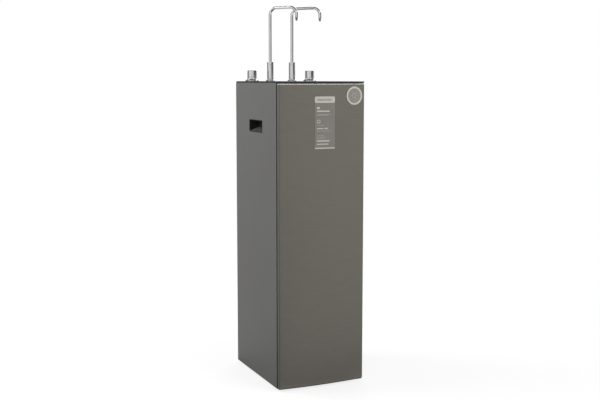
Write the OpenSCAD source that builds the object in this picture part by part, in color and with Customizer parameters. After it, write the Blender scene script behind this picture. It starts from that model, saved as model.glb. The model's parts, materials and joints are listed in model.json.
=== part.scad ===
// Floor-standing reverse osmosis water purifier: slim cabinet, bowed door, swivel spouts and valve knobs.
// Millimetres. The origin is on the floor under the middle of the outline, +Z is up and the door faces -Y.

/* [Cabinet] */
// Width over the two side panels
body_w = 300; // [296:1:340]
// Depth of a side panel, front edge to back edge
side_depth = 350; // [345:1:400]
// Height from the floor to the top of the top plate
body_h = 980; // [940:5:1080]
// Height of the rubber feet
foot_h = 6; // [5:0.5:12]
// Radius of a rubber foot
foot_r = 18; // [12:1:22]
// Distance from the middle of a foot to the cabinet's outline
foot_inset = 42; // [34:1:60]
// Radius of the stud that holds a foot
foot_stud_r = 4; // [3:0.5:6]
// Length of the stud that holds a foot
foot_stud_len = 7; // [4:0.5:7]
// Thickness of the side and back sheets
sheet_t = 1.5; // [1:0.25:2]
// Thickness of the black top plate
top_t = 5; // [4:0.5:8]
// Radius of the top plate's corners
top_corner_r = 6; // [2:1:10]
// Thickness of the base plate
base_t = 12; // [9:1:18]
// How far the back panel sits in from the rear edges
back_recess = 20; // [19:1:28]
// Leg width of a corner post
post_w = 16; // [12:1:18]
// Sheet thickness of a corner post
post_t = 2; // [1.5:0.25:3]
// Height of a top rail
rail_h = 18; // [12:1:24]
// Thickness of a top rail
rail_t = 6; // [4:0.5:8]
// Depth of the front bay that holds the filters
front_bay = 100; // [98:1:104]
// Thickness of the filter mounting plate and of the tank shelf
plate_t = 1.5; // [1:0.25:3]
// Height of the tank shelf above the base plate
shelf_rise = 452; // [445:1:470]

/* [Handle pockets] */
// Length of a handle opening along the side panel
handle_w = 112; // [90:1:130]
// Height of a handle opening
handle_h = 40; // [32:1:50]
// Middle of a handle opening, behind the front edge of the side panel
handle_y = 169; // [160:1:190]
// Middle of a handle opening, below the top of the top plate
handle_drop = 144.5; // [120:0.5:180]
// Depth of a handle pocket
handle_depth = 30; // [22:1:36]
// Wall thickness of a handle pocket
handle_wall = 2; // [1.5:0.25:3]
// How far the pocket's floor rises towards the inside
handle_rise = 13; // [6:1:16]
// Height of the finger grip behind the opening's top edge
handle_grip = 8; // [4:1:12]
// How far the finger grip starts behind the panel's face
handle_lip = 8; // [5:0.5:10]
// How far the pocket's end walls lean in
handle_draft = 8; // [2:1:12]
// Radius of the opening's corners
handle_corner_r = 4; // [2:0.5:6]

/* [Door] */
// Gap between the door and the cabinet
door_gap = 3; // [2.5:0.25:5]
// Thickness of the door at its side edges
door_t = 15; // [14:0.5:18]
// Thickness of the door's folded skin
skin_t = 1.5; // [1:0.25:2]
// Wall thickness of the hollow core inside the door
core_wall = 3; // [2:0.25:3.5]
// Solid margin of the door's core at its ends and sides
core_margin = 24; // [22:1:40]
// How far the door's front bows out in the middle
door_bow = 8; // [5:0.5:14]
// Radius of the door's front side edges
door_edge_r = 6; // [4:0.5:7]
// Radius of the door's rear side edges
door_back_r = 5; // [4:0.5:5.5]
// Height of the bright trim along the door's top edge
trim_h = 3; // [2:0.5:6]
// Height of the black core showing under the skin
core_toe = 3; // [2:0.5:8]
// Width of the label plate
label_w = 70; // [50:1:90]
// Height of the label plate
label_h = 164; // [120:1:200]
// Middle of the label plate to the right of the door's middle
label_x = 5; // [-10:1:20]
// Top of the label plate below the top of the top plate
label_drop = 47; // [35:1:80]
// Thickness of the label plate
label_t = 0.5; // [0.3:0.1:1.5]
// Radius of the round badge
badge_r = 29; // [20:1:32]
// Middle of the round badge from the door's right edge
badge_side = 39.5; // [36:0.5:45]
// Middle of the round badge below the top of the top plate
badge_drop = 45.5; // [44:0.5:80]
// Thickness of the round badge
badge_t = 1.2; // [0.5:0.1:2]
// Radius of a hinge pin
pin_r = 2.5; // [2:0.25:3]
// How far a hinge pin reaches into the door
pin_depth = 14; // [8:1:24]
// Outer radius of a hinge bush
bush_r = 4.5; // [4:0.25:4.75]
// Distance from the hinge axis to the door's side edge
hinge_inset = 7.5; // [7:0.25:8]
// Distance from the hinge axis to the door's rear face
hinge_back = 6; // [5.5:0.25:6]
// Thickness of a hinge bracket
bracket_t = 1.5; // [1:0.25:2.5]
// Running gap between a hinge bracket and the door
hinge_gap = 0.7; // [0.4:0.1:1.2]
// How far a hinge bracket reaches to each side of the pin
bracket_reach = 6; // [4.5:0.5:6]
// How far a hinge bracket reaches back into the cabinet
bracket_back = 24; // [18:1:30]
// Height of the magnet catch
catch_h = 40; // [24:1:60]
// Width of the magnet catch's face
catch_w = 14; // [10:1:20]
// Depth of the magnet catch behind the post
catch_d = 10; // [6:1:14]
// Thickness of the steel strike
strike_t = 1.2; // [0.8:0.1:2]
// Gap between the magnet catch and the strike
strike_gap = 0.4; // [0.3:0.1:1]

/* [Taps and knobs] */
// Distance of the tap row from the rear edge
row_back = 44; // [42:1:48]
// Distance of a tap from the middle
tap_x = 40.5; // [36:0.5:45]
// Radius of a tap barrel
tap_r = 11; // [9.5:0.5:12]
// Height of a tap barrel above the top plate
tap_h = 65; // [50:1:80]
// Radius of a tap's base flange
tap_flange_r = 15; // [14.5:0.5:16]
// Thickness of a tap's base flange
tap_flange_t = 3; // [2:0.5:5]
// Radius of the edge at the top of a tap barrel
tap_edge_r = 1.5; // [0.5:0.25:2]
// Radius of a tap's threaded stem
stem_r = 6; // [5.5:0.25:7]
// Length of a tap's threaded stem below the top plate
stem_len = 30; // [24:1:36]
// Radius of the water way through a tap's stem
stem_bore_r = 3; // [2:0.25:4]
// Across-corners radius of a tap's lock nut
nut_r = 11; // [10:0.5:12]
// Thickness of a tap's lock nut
nut_t = 6; // [4:0.5:9]
// Radius of a spout tube
spout_r = 5; // [4:0.25:6]
// Radius of the bore through a spout tube
spout_bore_r = 3.8; // [2.5:0.1:3.9]
// Height of a spout's level run above the top plate
spout_h = 246; // [200:1:300]
// Reach of a spout from its barrel to its outlet
spout_reach = 105; // [90:1:110]
// Straight length of a spout between its front bend and its tip
spout_straight = 10; // [9:1:30]
// Bend radius of a spout
spout_bend = 24; // [18:1:30]
// Depth of a spout in its barrel
spout_depth = 45; // [30:1:48]
// Turn of the left spout from straight ahead
left_turn = 34; // [20:1:40]
// Turn of the right spout from straight ahead
right_turn = 40; // [36:1:60]
// Radius of a spout tip's end
tip_end_r = 3; // [2.6:0.1:4]
// Length of a spout tip below its tube
tip_h = 11; // [8:1:16]
// How far a spout tip sits in its tube
tip_grip = 8; // [5:1:9]
// Radius of the bore through a spout tip
tip_bore_r = 2; // [1:0.1:2.5]
// Distance of a knob from the cabinet's outline
knob_side = 42.5; // [38:0.5:46]
// Radius of a knob
knob_r = 15.75; // [13:0.25:18]
// Height of a knob's top above the top plate
knob_h = 36; // [30:1:45]
// Radius of a knob's top edge
knob_edge_r = 2; // [1:0.25:3]
// Radius of a knob's flared skirt
skirt_r = 22.5; // [21:0.5:25]
// Height of a knob's flared skirt
skirt_h = 10; // [8:0.5:12]
// Thickness of the skirt's rim
skirt_rim = 3; // [2:0.25:4]
// Running gap between a knob and its skirt
knob_gap = 0.5; // [0.3:0.1:1]
// Radius of a valve spindle
spindle_r = 4; // [3:0.25:5]
// Depth of a valve spindle in its knob
spindle_in_knob = 16; // [10:1:18]
// Depth of a valve spindle in its valve below the top plate
spindle_in_valve = 24; // [16:1:34]
// Radius of a valve body
valve_r = 14; // [12:0.5:15]
// Length of a valve body below the top plate
valve_len = 80; // [74:1:90]
// Radius of a valve's neck through the top plate
neck_r = 8; // [7:0.25:9]
// Height of a valve's neck above the top plate
neck_h = 5; // [3:0.5:7]
// Height of a valve's side port above its bottom
valve_port_rise = 12; // [8:1:16]

/* [Water tubes] */
// Radius of a water tube
tube_r = 3.2; // [2.5:0.1:4]
// Bend radius of a water tube
tube_bend = 14; // [11:1:16]
// Radius of a push-fit port
port_r = 6; // [5:0.25:6.5]
// Length of a push-fit port
port_len = 8; // [6:1:10]
// Distance of the upright tubes from the corner posts
riser_inset = 10.5; // [10.5:0.5:12]
// Distance of the upright tubes from the filter mounting plate
riser_off = 14; // [10:0.5:18]
// Radius of a tube hole in a plate
hole_r = 5.5; // [5:0.25:7]

/* [Filters] */
// Radius of a pre-filter cartridge
pre_r = 34; // [30:0.5:36]
// Length of a pre-filter cartridge
pre_len = 290; // [240:1:300]
// Radius of the rounded bottom edge of a pre-filter cartridge
pre_edge_r = 10; // [4:1:16]
// Height of the pre-filter head
head_h = 32; // [24:1:40]
// Depth of the pre-filter head
head_d = 76; // [70:1:80]
// Top of the pre-filter head below the top plate
head_drop = 60; // [50:1:80]
// Height of a cartridge collar
collar_h = 12; // [8:1:16]
// How far a collar stands out around a cartridge
collar_lip = 3; // [1:0.5:4]
// Gap between a cartridge and the filter mounting plate
filter_gap = 4; // [3.5:0.5:6]
// Radius of a post-filter cartridge
post_r = 23; // [18:0.5:25]
// Length of a post-filter cartridge
post_len = 190; // [150:1:200]
// Room left between the post-filter row and the upright tubes
post_room = 10; // [6:0.5:16]
// Height of the post-filter head
post_head_h = 22; // [18:1:24]
// Top of the post-filter head below the tank shelf
post_head_drop = 8; // [4:1:12]
// Distance of the post-filter outlets from the middle
post_port_x = 60; // [50:1:70]
// Radius of the membrane housing
mem_r = 37; // [34:0.5:38]
// How far the membrane housing's caps stand out around it
mem_lip = 3; // [2:0.5:4]
// Distance from the membrane housing's ends to the side panels
mem_side = 39.5; // [36.5:0.5:42.5]
// Length of a membrane cap
mem_cap = 24; // [20:1:30]
// Height of the membrane housing's middle above the base plate
mem_rise = 157; // [152:1:160]
// Distance of a membrane clip from the middle
clip_x = 55; // [40:1:65]
// Width of a membrane clip
clip_w = 16; // [10:1:24]
// Wall thickness of a membrane clip
clip_t = 2.5; // [2:0.25:3]
// Height of a membrane clip's block
clip_block = 26; // [16:1:40]

/* [Tanks] */
// Radius of the storage tank
tank_r = 93; // [80:1:94]
// Height of the storage tank
tank_h = 300; // [250:1:305]
// Corner radius of the storage tank
tank_edge_r = 58; // [30:1:64]
// Wall thickness of the storage tank
tank_wall = 2.5; // [1.5:0.25:4]
// Height of the tank stand under the tank
stand_h = 14; // [12:1:20]
// Outer radius of the tank stand
stand_r = 72; // [64:1:76]
// Wall thickness of the tank stand
stand_wall = 6; // [4:0.5:10]
// How far the tank stand reaches up around the tank
stand_reach = 20; // [16:1:26]
// Radius of the tank's outlet boss
boss_r = 10; // [8:0.5:13]
// Height of the tank's outlet boss
boss_h = 10; // [6:1:14]
// Radius of the tank valve
tank_valve_r = 14; // [13:0.5:16]
// Height of the tank valve
tank_valve_h = 34; // [28:1:38]
// Length of the tank valve's lever
lever_len = 46; // [34:1:60]
// Width of the tank valve's lever
lever_w = 11; // [8:0.5:14]
// Thickness of the tank valve's lever
lever_t = 4; // [3:0.5:6]
// Radius of the lever's spindle
lever_pin_r = 3; // [2:0.25:4]
// Depth of the lever's spindle in the tank valve
lever_pin_len = 12; // [8:1:14]
// Running gap under the tank valve's lever
lever_gap = 0.6; // [0.3:0.1:1]
// Radius of the hot tank
hot_r = 58; // [50:0.5:60]
// Height of the hot tank
hot_h = 206; // [180:1:220]
// Corner radius of the hot tank
hot_edge_r = 22; // [10:1:30]
// Wall thickness of the hot tank
hot_wall = 1.5; // [1:0.25:3]
// Thickness of the hot tank's foam jacket
jacket_t = 14; // [10:0.5:16]
// Distance of the hot tank's middle to the left of the cabinet's middle
hot_x = 60; // [56:1:64]
// Gap between the hot tank's jacket and the back panel
hot_gap = 6; // [4:0.5:10]
// Distance of the hot tank's inlet in front of its middle
hot_inlet_off = 34; // [30:1:40]
// Rise of the hot tank's inlet tube above its port
hot_inlet_rise = 40; // [32:1:44]
// Rise of the upright tubes' crossing below the valves
cross_drop = 45; // [36:1:50]

/* [Pump and electrics] */
// Width of the pump head
pump_w = 52; // [48:1:56]
// Depth of the pump head
pump_d = 74; // [66:1:78]
// Height of the pump head
pump_head_h = 62; // [56:1:64]
// Thickness of the pump's foot
pump_foot_t = 6; // [4:0.5:7]
// Width of the pump's foot
pump_foot_w = 60; // [40:1:70]
// Distance from the pump head's right side to the side panel
pump_inset = 14; // [10:1:16]
// Radius of the pump motor
motor_r = 28; // [24:0.5:30]
// Length of the pump motor
motor_len = 86; // [70:1:96]
// Width of the power supply
psu_w = 88; // [70:1:94]
// Depth of the power supply
psu_d = 46; // [40:1:50]
// Height of the power supply
psu_h = 46; // [36:1:50]
// Distance from the power supply to the side panel
psu_inset = 14; // [10:1:20]
// Distance from the power supply to the filter mounting plate
psu_gap = 24; // [22:1:30]
// Width of the control box
ctrl_w = 92; // [70:1:96]
// Depth of the control box
ctrl_d = 90; // [70:1:100]
// Height of the control box
ctrl_h = 140; // [100:1:170]
// Gap between the control box and the side panel
ctrl_gap = 12; // [6:1:14]
// Wall thickness of the control box
ctrl_wall = 2; // [1.5:0.25:3]
// Width of the solenoid valve
sol_w = 32; // [26:1:36]
// Length of the solenoid valve
sol_len = 40; // [30:1:44]
// Height of the solenoid valve's block
sol_h = 26; // [20:1:30]
// Height of the solenoid's coil above its block
coil_h = 24; // [16:1:30]

/* [Rear panel] */
// Height of the water inlet above the base plate
inlet_rise = 84; // [80:1:100]
// Height of the drain above the base plate
drain_rise = 30; // [24:1:40]
// Bore radius of a push-fit fitting for outside tubes
fitting_bore_r = 3.25; // [3:0.05:4]
// Bore depth of a push-fit fitting for outside tubes
fitting_bore_len = 16; // [12:1:17]
// Radius of a rear fitting's flange
flange_r = 9; // [8:0.5:10]
// Radius of a rear fitting's stem
fitting_r = 6.5; // [6:0.25:7]
// How far a rear fitting stands out of the back panel
fitting_out = 16; // [10:1:18]
// Thickness of a rear fitting's flange
flange_t = 3; // [2:0.5:4]
// Height of the cord gland above the base plate
gland_rise = 110; // [100:1:130]
// Distance of the cord gland from the side panel
gland_side = 30.5; // [28.5:0.5:36.5]
// Bore radius of the cord gland
gland_bore_r = 3.8; // [3:0.1:4.5]
// How far the cord gland stands out of the back panel
gland_out = 12; // [6:1:15]
// Height of the heater switch above the base plate
switch_rise = 200; // [180:1:240]
// Distance of the heater switch from the side panel
switch_side = 48.5; // [40.5:0.5:58.5]
// Width of the heater switch's rocker
rocker_w = 14; // [10:0.5:18]
// Height of the heater switch's rocker
rocker_h = 22; // [16:0.5:26]
// Thickness of the heater switch's rocker
rocker_t = 6; // [5:0.5:8]
// Half of the rocker's swing in degrees
rocker_tilt = 8; // [4:1:10]
// Wall of the heater switch's housing
switch_wall = 3; // [2:0.25:4]
// Depth of the heater switch's housing behind the panel
switch_depth = 16; // [14:1:20]
// Running gap at each side of the rocker
rocker_gap = 0.3; // [0.2:0.05:0.6]
// Radius of the rocker's axle
axle_r = 1.5; // [1:0.1:2]
// Length of the rocker's axle ends
axle_len = 1.6; // [1:0.1:1.8]
// Radius of a screw head
screw_head_r = 3.5; // [3:0.25:4.5]
// Height of a screw head
screw_head_h = 2.2; // [1.5:0.1:3]
// Radius of a screw shank
screw_r = 1.9; // [1.5:0.1:2.2]
// Length of a screw shank
screw_len = 8; // [5:0.5:12]
// Number of screws up each side of the back panel
screw_rows = 4; // [3:1:6]
// Distance of the end screws from the panel's ends
screw_inset = 60; // [40:1:90]
// Length of a vent slot
vent_len = 90; // [60:1:110]
// Height of a vent slot
vent_h = 4; // [3:0.5:6]
// Spacing of the vent slots
vent_pitch = 12; // [10:1:16]
// Number of vent slots
vent_rows = 12; // [4:1:14]
// Height of the lowest vent slot above the tank shelf
vent_rise = 90; // [60:1:140]

/* [Fits] */
// Clearance of a pin, stem or stud in its hole
fit = 0.05; // [0.02:0.01:0.1]
// Clearance of pieces that are glued or stacked on curved faces
glue = 0.1; // [0.05:0.01:0.3]

/* [Hidden] */
$fn = 64;
bow_fn = 720;
nut_sides = 6;
quarter = 90;
past = 1;
sides = [-1, 1];

// Overall frame: the label's face is the front of the outline and the side panels' rear edges are its back
label_proud = label_t + glue;
total_depth = side_depth + door_gap + door_t + door_bow + label_proud;
y_back = total_depth / 2;
y_front = y_back - side_depth;
x_out = body_w / 2;
x_in = x_out - sheet_t;
z_floor = foot_h + base_t;
z_under = body_h - top_t;
y_panel = y_back - back_recess;
y_panel_in = y_panel - sheet_t;
y_plate = y_front + front_bay;
y_plate_back = y_plate + plate_t;
z_shelf = z_floor + shelf_rise;
z_shelf_top = z_shelf + plate_t;
z_frame = z_under - bracket_t;
foot_rows = [y_front + foot_inset, y_panel_in - foot_inset];

// Handle pockets
pocket_y = y_front + handle_y;
pocket_z = body_h - handle_drop;
pocket_w = handle_w - 2 * handle_wall;
pocket_h = handle_h - 2 * handle_wall;

// Door
y_door = y_front - door_gap;
y_skin = y_door - door_t;
y_fold = y_door - door_back_r;
bow_r = (pow(x_out, 2) + pow(door_bow, 2)) / (2 * door_bow);
bow_y = y_skin - door_bow + bow_r;
edge_y = bow_y - sqrt(pow(bow_r - door_edge_r, 2) - pow(x_out - door_edge_r, 2));
z_door = foot_h + hinge_gap;
z_door_top = z_under - bracket_t - hinge_gap;
hinge_x = x_out - hinge_inset;
hinge_y = y_door - hinge_back;
catch_x = -(x_in - post_w);
catch_z = body_h / 2;
badge_x = x_out - badge_side;

// Taps, knobs and valves
row_y = y_back - row_back;
knob_x = x_out - knob_side;
z_bore = body_h + tap_h - spout_depth;
z_run = body_h + spout_h;
z_mouth = z_run - spout_bend - spout_straight;
z_tip = z_mouth - tip_h;
z_knob = body_h + skirt_h + knob_gap;
z_valve = z_under - valve_len;
valve_port_z = z_valve + valve_port_rise;
valve_port_x = knob_x - valve_r - port_len;
z_cross = z_valve - port_len - cross_drop;

// Filters in the front bay
riser_x = x_in - post_w - riser_inset;
riser_y = y_plate - riser_off;
z_head = z_under - head_drop - head_h;
z_pre = z_head - collar_h;
pre_y = y_plate - filter_gap - pre_r;
pre_pitch = riser_x - pre_r;
z_post_head = z_shelf - post_head_drop - post_head_h;
z_post_port = z_post_head + post_head_h / 2;
post_y = y_plate - filter_gap - post_r;
post_pitch = (riser_x - post_room) / 2;
post_half = 1.5 * post_pitch + post_r + collar_lip;
mem_cap_r = mem_r + mem_lip;
mem_y = y_plate - filter_gap - mem_cap_r;
mem_z = z_floor + mem_rise;
mem_half = x_in - mem_side;
mem_port_x = mem_half - mem_cap / 2;
clip_r = mem_r + clip_t;
y_port = y_plate_back + port_len;
lane_y = y_port + tube_bend + past;

// Tanks in the rear bay
tank_y = (y_plate_back + y_panel_in) / 2;
z_tank = z_floor + stand_h;
z_tank_valve = z_tank + tank_h + boss_h;
tank_port_z = z_tank_valve + tank_valve_h / 2;
z_lever = z_tank_valve + tank_valve_h + lever_gap;
hot_y = y_panel_in - hot_gap - jacket_t - hot_r;
z_hot = z_shelf_top;
z_hot_port = z_hot + hot_h + port_len;
hot_cross_z = z_hot_port + hot_inlet_rise;

// Pump and electrics
pump_x = x_in - pump_inset - pump_w;
z_pump = z_floor + pump_foot_t;
z_pump_port = z_pump + pump_head_h + port_len;
motor_z = z_pump + pump_head_h / 2;
ctrl_x = x_in - ctrl_gap - ctrl_w;
ctrl_y = y_panel_in - post_w - ctrl_d;

// Rear panel
z_inlet = z_floor + inlet_rise;
z_drain = z_floor + drain_rise;
y_fitting = y_panel_in - port_len - flange_t;
y_solenoid = y_fitting - 2 * port_len - sol_len;
y_coil = y_solenoid + sol_len / 2;
gland_x = x_in - gland_side;
z_gland = z_floor + gland_rise;
switch_x = x_in - switch_side;
z_switch = z_floor + switch_rise;
rocker_room = rocker_h + 2 * axle_r;
rocker_side = rocker_w + 2 * rocker_gap;
axle_half = rocker_side / 2 + axle_len;
screw_x = x_in - post_w / 2;
screw_span = (z_under - z_floor - 2 * screw_inset) / (screw_rows - 1);

// Finishes for the preview
grey_paint = [0.42, 0.42, 0.40];
black_gloss = [0.05, 0.05, 0.05];
black_plastic = [0.08, 0.08, 0.08];
chrome = [0.80, 0.80, 0.82];
steel = [0.62, 0.63, 0.64];
white_plastic = [0.88, 0.88, 0.86];
blue_plastic = [0.25, 0.42, 0.66];
rubber = [0.10, 0.10, 0.10];
label_grey = [0.54, 0.53, 0.50];
brass = [0.72, 0.58, 0.30];
foam = [0.80, 0.79, 0.74];

// Rounded rectangle from squares and circles
module round_rect(w, h, r) {
    square([w - 2 * r, h], center = true);
    square([w, h - 2 * r], center = true);
    for (a = sides, b = sides) translate([a * (w / 2 - r), b * (h / 2 - r)]) circle(r);
}

// Half of a rounded rectangle, to be turned about the Z axis
module half_round(r, h, e) {
    square([r - e, h]);
    translate([0, e]) square([r, h - 2 * e]);
    translate([r - e, e]) circle(e);
    translate([r - e, h - e]) circle(e);
}

module vessel(r, h, e) {
    rotate_extrude() intersection() {
        half_round(r, h, e);
        square([r, h]);
    }
}

// Round bar from one point to another
module rod(p, q, r) {
    d = (q - p) / norm(q - p);
    translate(p) rotate([0, acos(d[2]), atan2(d[1], d[0])]) cylinder(h = norm(q - p), r = r);
}

// Quarter bend at a corner between two straight runs
module elbow(p, a, b, bend, r) {
    s = p - a * bend + b * bend;
    z = cross(-b, a);
    multmatrix([[-b[0], a[0], z[0], s[0]], [-b[1], a[1], z[1], s[1]], [-b[2], a[2], z[2], s[2]],
        [0, 0, 0, 1]]) rotate_extrude(angle = quarter) translate([bend, 0]) circle(r);
}

// Round tube along square-cornered points with quarter bends
module tube_run(pts, bend, r) {
    last = len(pts) - 1;
    for (i = [0 : last - 1]) {
        d = (pts[i + 1] - pts[i]) / norm(pts[i + 1] - pts[i]);
        rod(pts[i] + d * (i == 0 ? 0 : bend), pts[i + 1] - d * (i == last - 1 ? 0 : bend), r);
    }
    for (i = [1 : 1 : last - 1])
        elbow(pts[i], (pts[i] - pts[i - 1]) / norm(pts[i] - pts[i - 1]),
            (pts[i + 1] - pts[i]) / norm(pts[i + 1] - pts[i]), bend, r);
}

module box_at(lo, hi) {
    translate(lo) cube(hi - lo);
}

// Cabinet
module base_plate() {
    color(black_plastic) difference() {
        box_at([-x_in, y_front, foot_h], [x_in, y_panel_in, z_floor]);
        for (a = sides, y = foot_rows)
            translate([a * (x_out - foot_inset), y, foot_h - past])
                cylinder(h = foot_stud_len + past + glue, r = foot_stud_r + fit);
    }
}

module feet() {
    color(rubber) for (a = sides, y = foot_rows)
        translate([a * (x_out - foot_inset), y, 0]) {
            cylinder(h = foot_h, r1 = foot_r - past, r2 = foot_r);
            translate([0, 0, foot_h - past]) cylinder(h = foot_stud_len + past, r = foot_stud_r);
        }
}

module side_panel(s) {
    color(grey_paint) difference() {
        box_at([s > 0 ? x_in : -x_out, y_front, foot_h], [s > 0 ? x_out : -x_in, y_back, z_under]);
        translate([s * x_in, pocket_y, pocket_z]) rotate([quarter, 0, quarter])
            translate([0, 0, -sheet_t - past]) linear_extrude(2 * (sheet_t + past))
                round_rect(handle_w + 2 * fit, handle_h + 2 * fit, handle_corner_r);
    }
}

module left_side_panel() {
    side_panel(-1);
}

module right_side_panel() {
    side_panel(1);
}

// Upright post of two legs, with its outer corner at the origin and its legs towards +X and +Y
module post(h) {
    linear_extrude(h) polygon([[0, 0], [post_w, 0], [post_w, post_t], [post_t, post_t], [post_t, post_w],
        [0, post_w]]);
}

module corner_posts() {
    color(steel) difference() {
        for (a = sides) {
            translate([a * x_in, y_front, z_floor]) mirror([a > 0 ? 1 : 0, 0, 0]) post(z_frame - z_floor);
            translate([a * x_in, y_panel_in, z_floor]) mirror([a > 0 ? 1 : 0, 0, 0]) mirror([0, 1, 0])
                post(z_frame - z_floor);
        }
        screw_holes(screw_r + fit);
    }
}

module top_rails() {
    color(steel) for (y = [y_front + post_t, y_panel_in - post_t - rail_t])
        box_at([-x_in + post_t, y, z_frame - rail_h], [x_in - post_t, y + rail_t, z_frame]);
}

module screw_holes(r) {
    for (a = sides, i = [0 : screw_rows - 1])
        translate([a * screw_x, y_panel + past, z_floor + screw_inset + i * screw_span])
            rotate([quarter, 0, 0]) cylinder(h = 2 * screw_len, r = r);
}

module back_panel_screws() {
    color(steel) for (a = sides, i = [0 : screw_rows - 1])
        translate([a * screw_x, y_panel, z_floor + screw_inset + i * screw_span]) rotate([-quarter, 0, 0]) {
            cylinder(h = screw_head_h, r1 = screw_head_r, r2 = screw_head_r - past);
            translate([0, 0, -screw_len]) cylinder(h = screw_len, r = screw_r);
        }
}

module rear_hole(x, z, r) {
    translate([x, y_panel + past, z]) rotate([quarter, 0, 0]) cylinder(h = sheet_t + 2 * past, r = r);
}

module back_panel() {
    color(grey_paint) difference() {
        box_at([-x_in, y_panel_in, foot_h], [x_in, y_panel, z_under]);
        screw_holes(screw_r + fit);
        rear_hole(-riser_x, z_inlet, fitting_r + fit);
        rear_hole(mem_port_x, z_drain, fitting_r + fit);
        rear_hole(gland_x, z_gland, fitting_r + fit);
        box_at([switch_x - rocker_side / 2 - switch_wall - fit, y_panel_in - past,
                z_switch - rocker_room / 2 - switch_wall - fit],
            [switch_x + rocker_side / 2 + switch_wall + fit, y_panel + past,
                z_switch + rocker_room / 2 + switch_wall + fit]);
        for (i = [0 : vent_rows - 1])
            translate([0, y_panel + past, z_shelf_top + vent_rise + i * vent_pitch]) rotate([quarter, 0, 0])
                linear_extrude(sheet_t + 2 * past) {
                    square([vent_len - vent_h, vent_h], center = true);
                    for (a = sides) translate([a * (vent_len - vent_h) / 2, 0]) circle(vent_h / 2);
                }
    }
}

// The top plate covers the cabinet and the door, so its front edge follows the door's face
module top_plate() {
    color(black_gloss) difference() {
        translate([0, 0, z_under]) linear_extrude(top_t) {
            translate([0, (y_front + y_back) / 2]) round_rect(body_w, side_depth, top_corner_r);
            door_plan(0, y_front + top_corner_r);
        }
        for (a = sides) {
            translate([a * tap_x, row_y, z_under - past]) cylinder(h = top_t + 2 * past, r = stem_r + fit);
            translate([a * knob_x, row_y, z_under - past]) cylinder(h = top_t + 2 * past, r = neck_r + fit);
        }
    }
}

module filter_mounting_plate() {
    color(white_plastic) difference() {
        box_at([-x_in, y_plate, z_floor], [x_in, y_plate_back, z_frame - rail_h]);
        for (p = [[-riser_x, z_inlet, hole_r], [0, z_post_port, port_r + fit],
                [-post_port_x, z_post_port, port_r + fit], [post_port_x, z_post_port, port_r + fit],
                [-mem_port_x, mem_z, port_r + fit], [mem_port_x, mem_z, port_r + fit]])
            translate([p[0], y_plate_back + past, p[1]]) rotate([quarter, 0, 0])
                cylinder(h = plate_t + 2 * past, r = p[2]);
    }
}

module tank_shelf() {
    color(steel) difference() {
        box_at([-x_in, y_plate_back, z_shelf], [x_in, y_panel_in - post_w, z_shelf_top]);
        for (a = sides) translate([a * post_port_x, lane_y, z_shelf - past])
            cylinder(h = plate_t + 2 * past, r = hole_r);
    }
}

// Finger pocket on the +X side, with its opening's middle at the origin and its depth towards -X
module pocket_room() {
    intersection() {
        translate([0, handle_w / 2, 0]) rotate([quarter, 0, 0]) linear_extrude(handle_w)
            polygon([[past, -pocket_h / 2], [0, -pocket_h / 2], [-handle_depth, -pocket_h / 2 + handle_rise],
                [-handle_depth, pocket_h / 2 + handle_grip], [-handle_lip, pocket_h / 2 + handle_grip],
                [-handle_lip, pocket_h / 2], [past, pocket_h / 2]]);
        translate([0, 0, -handle_h]) linear_extrude(2 * handle_h)
            polygon([[past, -pocket_w / 2], [0, -pocket_w / 2], [-handle_depth, -pocket_w / 2 + handle_draft],
                [-handle_depth, pocket_w / 2 - handle_draft], [0, pocket_w / 2], [past, pocket_w / 2]]);
    }
}

module handle_pocket() {
    flange = handle_grip + handle_wall;
    color(black_plastic) translate([x_out, pocket_y, pocket_z]) difference() {
        union() {
            rotate([quarter, 0, -quarter]) linear_extrude(handle_depth + handle_wall)
                round_rect(handle_w, handle_h, handle_corner_r);
            box_at([-handle_depth - handle_wall, -handle_w / 2, -handle_h / 2],
                [-sheet_t, handle_w / 2, handle_h / 2 + flange]);
        }
        pocket_room();
    }
}

module left_handle_pocket() {
    mirror([1, 0, 0]) handle_pocket();
}

module right_handle_pocket() {
    handle_pocket();
}

// Door
module bow_disc(inset) {
    translate([0, bow_y]) circle(bow_r - inset, $fn = bow_fn);
}

// Front and sides of the door in plan, set in evenly from the outer face
module door_plan(inset, back) {
    front = y_skin - door_bow - past;
    intersection() {
        bow_disc(inset);
        translate([-x_out + door_edge_r, front]) square([body_w - 2 * door_edge_r, back - front]);
    }
    translate([-x_out + inset, edge_y]) square([body_w - 2 * inset, back - edge_y]);
    intersection() {
        for (a = sides) translate([a * (x_out - door_edge_r), edge_y]) circle(door_edge_r - inset);
        translate([-x_out, front]) square([body_w, back - front]);
    }
}

module core_plan() {
    door_plan(skin_t + glue, y_fold + glue);
    translate([-x_out + door_back_r, y_fold]) square([body_w - 2 * door_back_r, door_back_r]);
    intersection() {
        for (a = sides) translate([a * (x_out - door_back_r), y_fold]) circle(door_back_r);
        translate([-x_out, y_fold + glue]) square([body_w, door_back_r]);
    }
}

// Room inside the hollow core
module core_room() {
    intersection() {
        bow_disc(skin_t + core_wall);
        translate([-x_out + core_margin, y_skin - door_bow])
            square([body_w - 2 * core_margin, y_door - core_wall - y_skin + door_bow]);
    }
}

module door_core() {
    bush_h = pin_depth + past;
    color(black_plastic) difference() {
        translate([0, 0, z_door]) linear_extrude(z_door_top - z_door) core_plan();
        translate([0, 0, z_door + core_margin])
            linear_extrude(z_door_top - z_door - 2 * core_margin) core_room();
        for (z = [z_door - past, z_door_top - bush_h])
            translate([hinge_x, hinge_y, z]) cylinder(h = bush_h + past, r = bush_r + fit);
        box_at([catch_x - glue, y_door - strike_t, catch_z - catch_h / 2 - glue],
            [catch_x + catch_w + glue, y_door + past, catch_z + catch_h / 2 + glue]);
    }
}

module skin_section() {
    difference() {
        door_plan(0, y_fold);
        door_plan(skin_t, y_fold + past);
    }
}

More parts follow.
